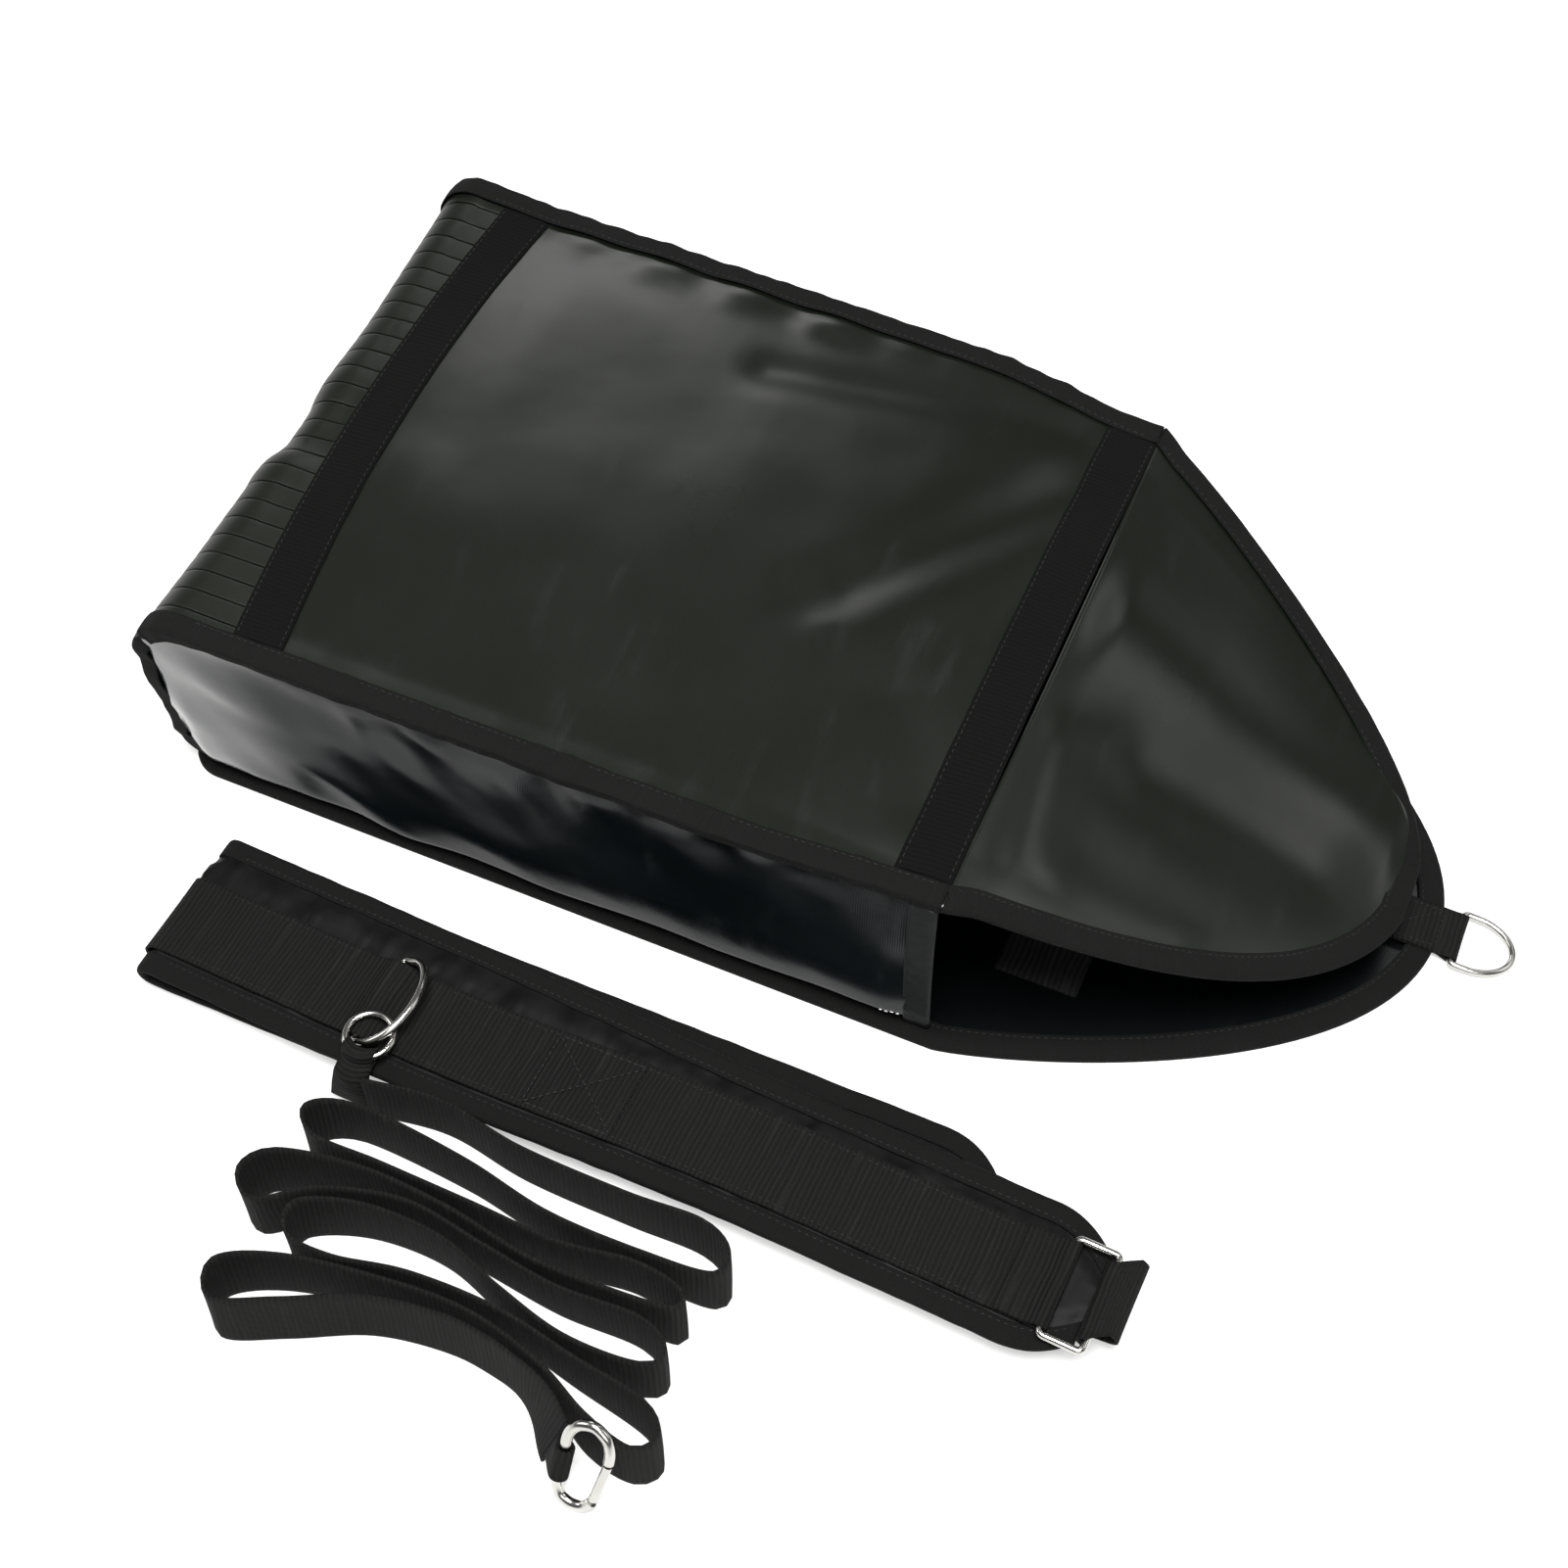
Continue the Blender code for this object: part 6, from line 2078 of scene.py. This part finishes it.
@dataclass
class PullStrap:
    """The pull strap, which stands on its edge in a zigzag, with its sewn ends and its hook."""

    finishes: Finishes
    width: float = 0.038
    thick: float = 0.0016
    floor_gap: float = 0.0005
    twist: float = 0.045
    step: float = 0.0045
    ring_wire: float = 0.0040
    ring_radius: float = 0.0130
    hook_wire: float = 0.0056
    gate_wire: float = 0.0048
    bar_x: float = -0.0100
    ring_centre: Vector = Vector((0.2030, -0.1262, 0.0310))
    loop_foot: tuple[float, float] = (0.2020, -0.1535)
    loop_foot_half: float = 0.012
    loop_neck_half: float = 0.0092
    loop_bow: float = 0.0004
    gate_hinge: Vector = Vector((0.0098, -0.0164, 0.0))
    gate_nose: Vector = Vector((0.0130, 0.0070, 0.0))
    hook_loop_half: float = 0.011
    hook_turn_half: float = 0.009

    hook_line = (
        (0.0130, 0.0086), (0.0130, 0.0138), (0.0102, 0.0216), (0.0020, 0.0260), (-0.0062, 0.0226),
        (-0.0100, 0.0156), (-0.0100, 0.0050), (-0.0100, -0.0060), (-0.0100, -0.0160),
        (-0.0075, -0.0225), (-0.0010, -0.0250), (0.0060, -0.0236), (0.0095, -0.0180),
    )
    route = (
        (0.2142, -0.1542, 2), (0.2592, -0.1482, 2), (0.3092, -0.1552, 2), (0.3692, -0.1562, 2),
        (0.4116, -0.1551, 5), (0.4310, -0.1650, 8), (0.4287, -0.1784, 6), (0.3952, -0.1812, 2),
        (0.3392, -0.1812, 2), (0.2842, -0.1722, 2), (0.2195, -0.1688, 4), (0.1960, -0.1800, 8),
        (0.2075, -0.1918, 4), (0.2472, -0.1912, 2), (0.2992, -0.1922, 2), (0.3492, -0.1932, 2),
        (0.3895, -0.1878, 4), (0.4169, -0.1927, 7), (0.4189, -0.2027, 7), (0.3842, -0.2052, 2),
        (0.3392, -0.2062, 2), (0.2892, -0.1987, 2), (0.2395, -0.1978, 4), (0.1950, -0.2080, 8),
        (0.1830, -0.2240, 8), (0.1976, -0.2351, 5), (0.2252, -0.2157, 2), (0.2692, -0.2044, 2),
        (0.3142, -0.2092, 2), (0.3592, -0.2142, 2), (0.4045, -0.2128, 4), (0.4239, -0.2237, 7),
        (0.4147, -0.2344, 6), (0.3742, -0.2352, 2), (0.3342, -0.2262, 2), (0.2942, -0.2142, 2),
        (0.2515, -0.2150, 4), (0.2189, -0.2277, 7), (0.2226, -0.2441, 5), (0.2493, -0.2453, 3),
        (0.2893, -0.2375, 3), (0.3393, -0.2365, 3), (0.3846, -0.2441, 5), (0.4250, -0.2510, 9),
        (0.4390, -0.2630, 9), (0.4290, -0.2740, 8), (0.4020, -0.2690, 13), (0.3700, -0.2537, 7),
        (0.3245, -0.2432, 4), (0.2745, -0.2464, 4), (0.2247, -0.2564, 6), (0.1970, -0.2720, 9),
        (0.2060, -0.2900, 9), (0.2380, -0.2770, 9), (0.2760, -0.2590, 9), (0.3150, -0.2520, 9),
        (0.3420, -0.2535, 9), (0.3600, -0.2577, 10), (0.3750, -0.2653, 14), (0.3900, -0.2790, 20),
    )
    away = Vector((-0.41, 0.912, 0.0))
    end_width = Vector((0.28, 0.32, 0.905)).normalized()

    def stations(self) -> list[tuple[Vector, Vector, Vector]]:
        """Work out each station of the strap.

        Returns:
            Its middle, its direction and its width direction.
        """
        points = [Vector(p) for p in self.route]
        ends = [2 * points[0] - points[1], *points, 2 * points[-1] - points[-2]]
        line = []
        for before, start, end, after in zip(ends, ends[1:], ends[2:], ends[3:]):
            count = max(1, round((end - start).xy.length / self.step))
            for i in range(count):
                t = i / count
                line.append(0.5 * (2 * start + (end - before) * t
                                   + (2 * before - 5 * start + 4 * end - after) * t ** 2
                                   + (3 * start - before - 3 * end + after) * t ** 3))
        line.append(points[-1].copy())
        runs = running_lengths([point.xy for point in line])
        found = []
        for i, point in enumerate(line):
            along = (line[min(i + 1, len(line) - 1)] - line[max(i - 1, 0)]).xy.normalized()
            lean = math.radians(point.z)
            stand = self.away * math.sin(lean) + Vector((0.0, 0.0, math.cos(lean)))
            twist = ease(1 - (runs[-1] - runs[i]) / self.twist)
            width = stand.lerp(self.end_width, twist).normalized()
            high = self.floor_gap + width.z * self.width / 2 + self.thick * math.sin(lean)
            found.append((Vector((point.x, point.y, high)), along.to_3d(), width))
        return found

    def build(self) -> None:
        spots = self.stations()
        count = len(spots) - 1

        def shape(s: float, t: float) -> Vector:
            """Place a point of the strap.

            Args:
                s: the share along it.
                t: the share across it.

            Returns:
                The point.
            """
            i = round(s * count)
            middle, along, width = spots[i]
            w = 2 * t - 1
            normal = width.cross(along).normalized()
            run = i * self.step
            cup = 0.0003 * (1 - w * w) + 0.0006 * ripple(run, 51.0, 0.09) * w
            return middle + width * (w * self.width / 2) + normal * cup

        strap = make_piece("strap_band", lay_grid(shape, count, 8), self.finishes.webbing,
                           Slot.WEBBING, stands_for=["pull_strap"], thick=self.thick)
        loop = self.build_ring_loop()
        hook = self.build_hook(spots)

    def build_band(self, name: str, rows: list[tuple[Vector, Vector, Vector]], place: Matrix,
                   node: str, bow: float = 0.0) -> bpy.types.Object:
        """Build a short band of webbing, bowed to its side.

        Args:
            name: the piece's name.
            rows: its middles, half widths and sides.
            place: its frame.
            node: the solid that it replaces.
            bow: how strongly it is bowed.

        Returns:
            The piece.
        """
        middles = Line([row[0] for row in rows], 0.0012, 1)
        count = len(rows) - 1

        def shape(s: float, t: float) -> Vector:
            """Place a point of the band.

            Args:
                s: the share along it.
                t: the share across it.

            Returns:
                The point.
            """
            run = s * middles.length
            total = 0.0
            for i in range(count):
                span = (rows[i + 1][0] - rows[i][0]).length
                if total + span >= run or i == count - 1:
                    part = min(max((run - total) / max(span, 1e-9), 0.0), 1.0)
                    half = rows[i][1].lerp(rows[i + 1][1], part)
                    off = rows[i][2].lerp(rows[i + 1][2], part) * (half.length * (2 * t - 1)) ** 2
                    return middles.at(s) + half * (2 * t - 1) + off * bow
                total += span
            return middles.at(s)

        return make_piece(name, lay_grid(shape, 60, 8), self.finishes.webbing, Slot.WEBBING,
                          place, "sled", [node], self.thick)

    def build_ring_loop(self) -> bpy.types.Object:
        """Build the round ring and the sewn loop that holds it.

        Returns:
            The loop.
        """
        centre, bow = self.ring_centre, self.loop_bow
        circle = [Vector((self.ring_radius * math.cos(a), self.ring_radius * math.sin(a), 0.0))
                  for a in (2 * math.pi * i / 64 for i in range(64))]
        make_piece("round_ring_wire", tube(circle, self.ring_wire / 2, closed=True),
                   self.finishes.chrome, Slot.STEEL, BAG_PLACE @ Matrix.Translation(centre),
                   "round_ring", ["strap_ring"])
        foot_x, foot_y = self.loop_foot
        turn = self.ring_wire / 2 + self.thick / 2 + SEAM + bow / 2
        low = (centre.y - self.ring_radius, centre.z)
        outline = [(foot_y, 0.0040), (foot_y, 0.0150), (foot_y + 0.0015, 0.0250)]
        outline += arc((low[0] + bow / 2, low[1]), turn, 200, -90, 15)
        outline += [(foot_y + 0.0070, 0.0262), (foot_y + 0.0042, 0.0225),
                    (foot_y + 0.0034, 0.0150), (foot_y + 0.0034, 0.0040)]
        rows = []
        for y, z in outline:
            share = ease(z / low[1])
            half = self.loop_foot_half + (self.loop_neck_half - self.loop_foot_half) * share
            rows.append((Vector((foot_x + (centre.x - foot_x) * share, y, z)),
                         Vector((half, 0.0, 0.0)), Vector((0.0, share, 0.0))))
        return self.build_band("ring_loop_band", rows, BAG_PLACE, "strap_ring_loop",
                               0.55 / self.ring_radius)

    def build_hook(self, spots: list[tuple[Vector, Vector, Vector]]) -> list[bpy.types.Object]:
        """Build the hook's body, its sprung gate and its sewn loop.

        Args:
            spots: the strap's stations.

        Returns:
            The loop, the body and the gate.
        """
        line = Line([Vector((x, y, 0.0)) for x, y in self.hook_line], 0.0009, 14)
        body = make_piece("hook_body", tube(line.points, self.hook_wire / 2, 24),
                          self.finishes.chrome, Slot.STEEL, HOOK_PLACE, "snap_hook",
                          ["carabiner_body"])
        gate = tube([self.gate_hinge.lerp(self.gate_nose, i / 12) for i in range(13)],
                    self.gate_wire / 2, 24)
        gate = make_piece("hook_gate_bar", gate, self.finishes.chrome, Slot.STEEL, HOOK_PLACE,
                          "hook_gate", ["carabiner_gate"])
        end, _, end_width = spots[-1]
        turned = HOOK_TURN.to_3x3().transposed()
        end = turned @ (end - HOOK_CENTRE)
        end_width = turned @ end_width
        bar = Vector((self.bar_x, end.y, 0.0))
        toward = (bar - end).normalized()
        start = end + toward * (self.thick / 2 + TOUCH)
        up = Vector((-toward.z, 0.0, toward.x)).normalized()
        turn = self.hook_wire / 2 + SEAM + self.thick / 2
        leaf = self.thick / 2 + TOUCH
        rows = [(start + up * leaf, end_width * self.hook_loop_half, up)]
        for i in range(13):
            angle = math.pi * i / 12
            out = up * math.cos(angle) + toward * math.sin(angle)
            rows.append((bar + out * turn, Vector((0.0, self.hook_turn_half, 0.0)), out))
        rows.append((start - up * leaf, end_width * self.hook_loop_half, -up))
        loop = self.build_band("hook_loop_band", rows, HOOK_PLACE, "carabiner_loop")
        return [loop, body, gate]


@dataclass(frozen=True)
class Lamp:
    """A soft box over the object."""

    name: str
    place: tuple[float, float, float]
    aim: tuple[float, float, float]
    size: tuple[float, float]
    power: float

    def build(self) -> None:
        """Add the lamp, facing its aim."""
        light = bpy.data.lights.new(self.name, "AREA")
        light.shape = "RECTANGLE"
        light.size, light.size_y = self.size
        light.energy = self.power
        lamp = add_object(self.name, light)
        lamp.location = self.place
        toward = Vector(self.aim) - Vector(self.place)
        lamp.rotation_euler = toward.to_track_quat("-Z", "Y").to_euler()


@dataclass
class Studio:
    """The camera at the photograph's angle, the pale floor and the soft light."""

    finishes: Finishes
    lens: float = 51.49
    air: float = 0.12
    horizon: tuple[float, float] = (0.20, 0.08)
    floor_half: float = 6.0
    sensor: float = 36.0
    place: Vector = Vector((0.261286, -0.659630, 1.089363))
    right: Vector = Vector((0.915664, 0.401886, -0.006816))
    up: Vector = Vector((-0.328198, 0.757346, 0.564546))
    forward: Vector = Vector((-0.232045, 0.514697, -0.825373))

    def build_camera(self) -> None:
        """Put the camera where the photograph was taken."""
        data = bpy.data.cameras.new("camera")
        data.sensor_width = self.sensor
        data.lens = self.lens
        camera = add_object("camera", data)
        columns = (self.right, self.up, -self.forward, self.place)
        camera.matrix_world = Matrix([[column[i] for column in columns] for i in range(3)]
                                     + [[0.0, 0.0, 0.0, 1.0]])
        bpy.context.scene.camera = camera

    def build(self) -> None:
        """Add the floor, the white surround and the lamps."""
        bm = bmesh.new()
        bmesh.ops.create_grid(bm, x_segments=1, y_segments=1, size=self.floor_half)
        mesh = bpy.data.meshes.new("studio_floor")
        bm.to_mesh(mesh)
        bm.free()
        mesh.materials.append(self.finishes.floor)
        add_object("studio_floor", mesh)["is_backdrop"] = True
        kit = NodeKit("studio_air", world=True)
        bpy.context.scene.world = kit.material
        sky = kit.node("SeparateXYZ", {0: kit.node("TexCoord").outputs["Generated"]})
        horizon = Signal(kit, sky.outputs[2]).between(*self.horizon)
        surround = kit.rays("Is Glossy Ray") * horizon
        seen = surround.largest(kit.rays("Is Camera Ray", "Is Transmission Ray"))
        air = kit.node("Background", {"Color": WHITE, "Strength": self.air}).outputs[0]
        white = kit.node("Background", {"Color": WHITE, "Strength": 1.0}).outputs[0]
        mixed = kit.node("MixShader", {0: seen, 1: air, 2: white}).outputs[0]
        kit.node("OutputWorld", {0: mixed})
        for lamp in (
            Lamp("back_softbox", (-0.90, 1.30, 1.18), (-0.24, 0.24, 0.15), (0.75, 0.34), 4.4),
            Lamp("overhead_softbox", (0.2, -0.5, 2.5), (0.0, 0.0, 0.0), (1.1, 1.1), 130.0),
            Lamp("right_softbox", (0.55, 1.20, 1.35), (0.15, 0.08, 0.1), (0.55, 0.35), 1.4),
            Lamp("nose_softbox", (1.40, 0.52, 1.20), (0.2, 0.02, 0.09), (0.8, 0.6), 3.2),
            Lamp("left_softbox", (-1.5, -0.5, 1.3), (-0.2, 0.0, 0.1), (0.9, 0.9), 8.0),
            Lamp("front_fill", (0.9, -1.4, 1.5), (0.0, -0.1, 0.0), (1.2, 1.0), 8.0),
        ):
            lamp.build()
        bpy.context.scene.view_settings.view_transform = "Standard"


def corners(box: tuple[Vector, Vector]) -> list[list[float]]:
    """A box as plain lists."""
    return [list(corner) for corner in box]


def main() -> None:
    """Build the camera, the strap, the belt, the bag and the studio."""
    logging.basicConfig(level=logging.INFO)
    cad = corners(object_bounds())
    finishes = Finishes()
    studio = Studio(finishes)
    studio.build_camera()
    PullStrap(finishes).build()
    Belt(finishes).build()
    bag = Bag(finishes)
    bag.build()
    Flap(finishes, bag).build()
    Towing(finishes, bag).build()
    studio.build()
    {"cad": cad, "visual": corners(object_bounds())}


if __name__ == "__main__":
    main()
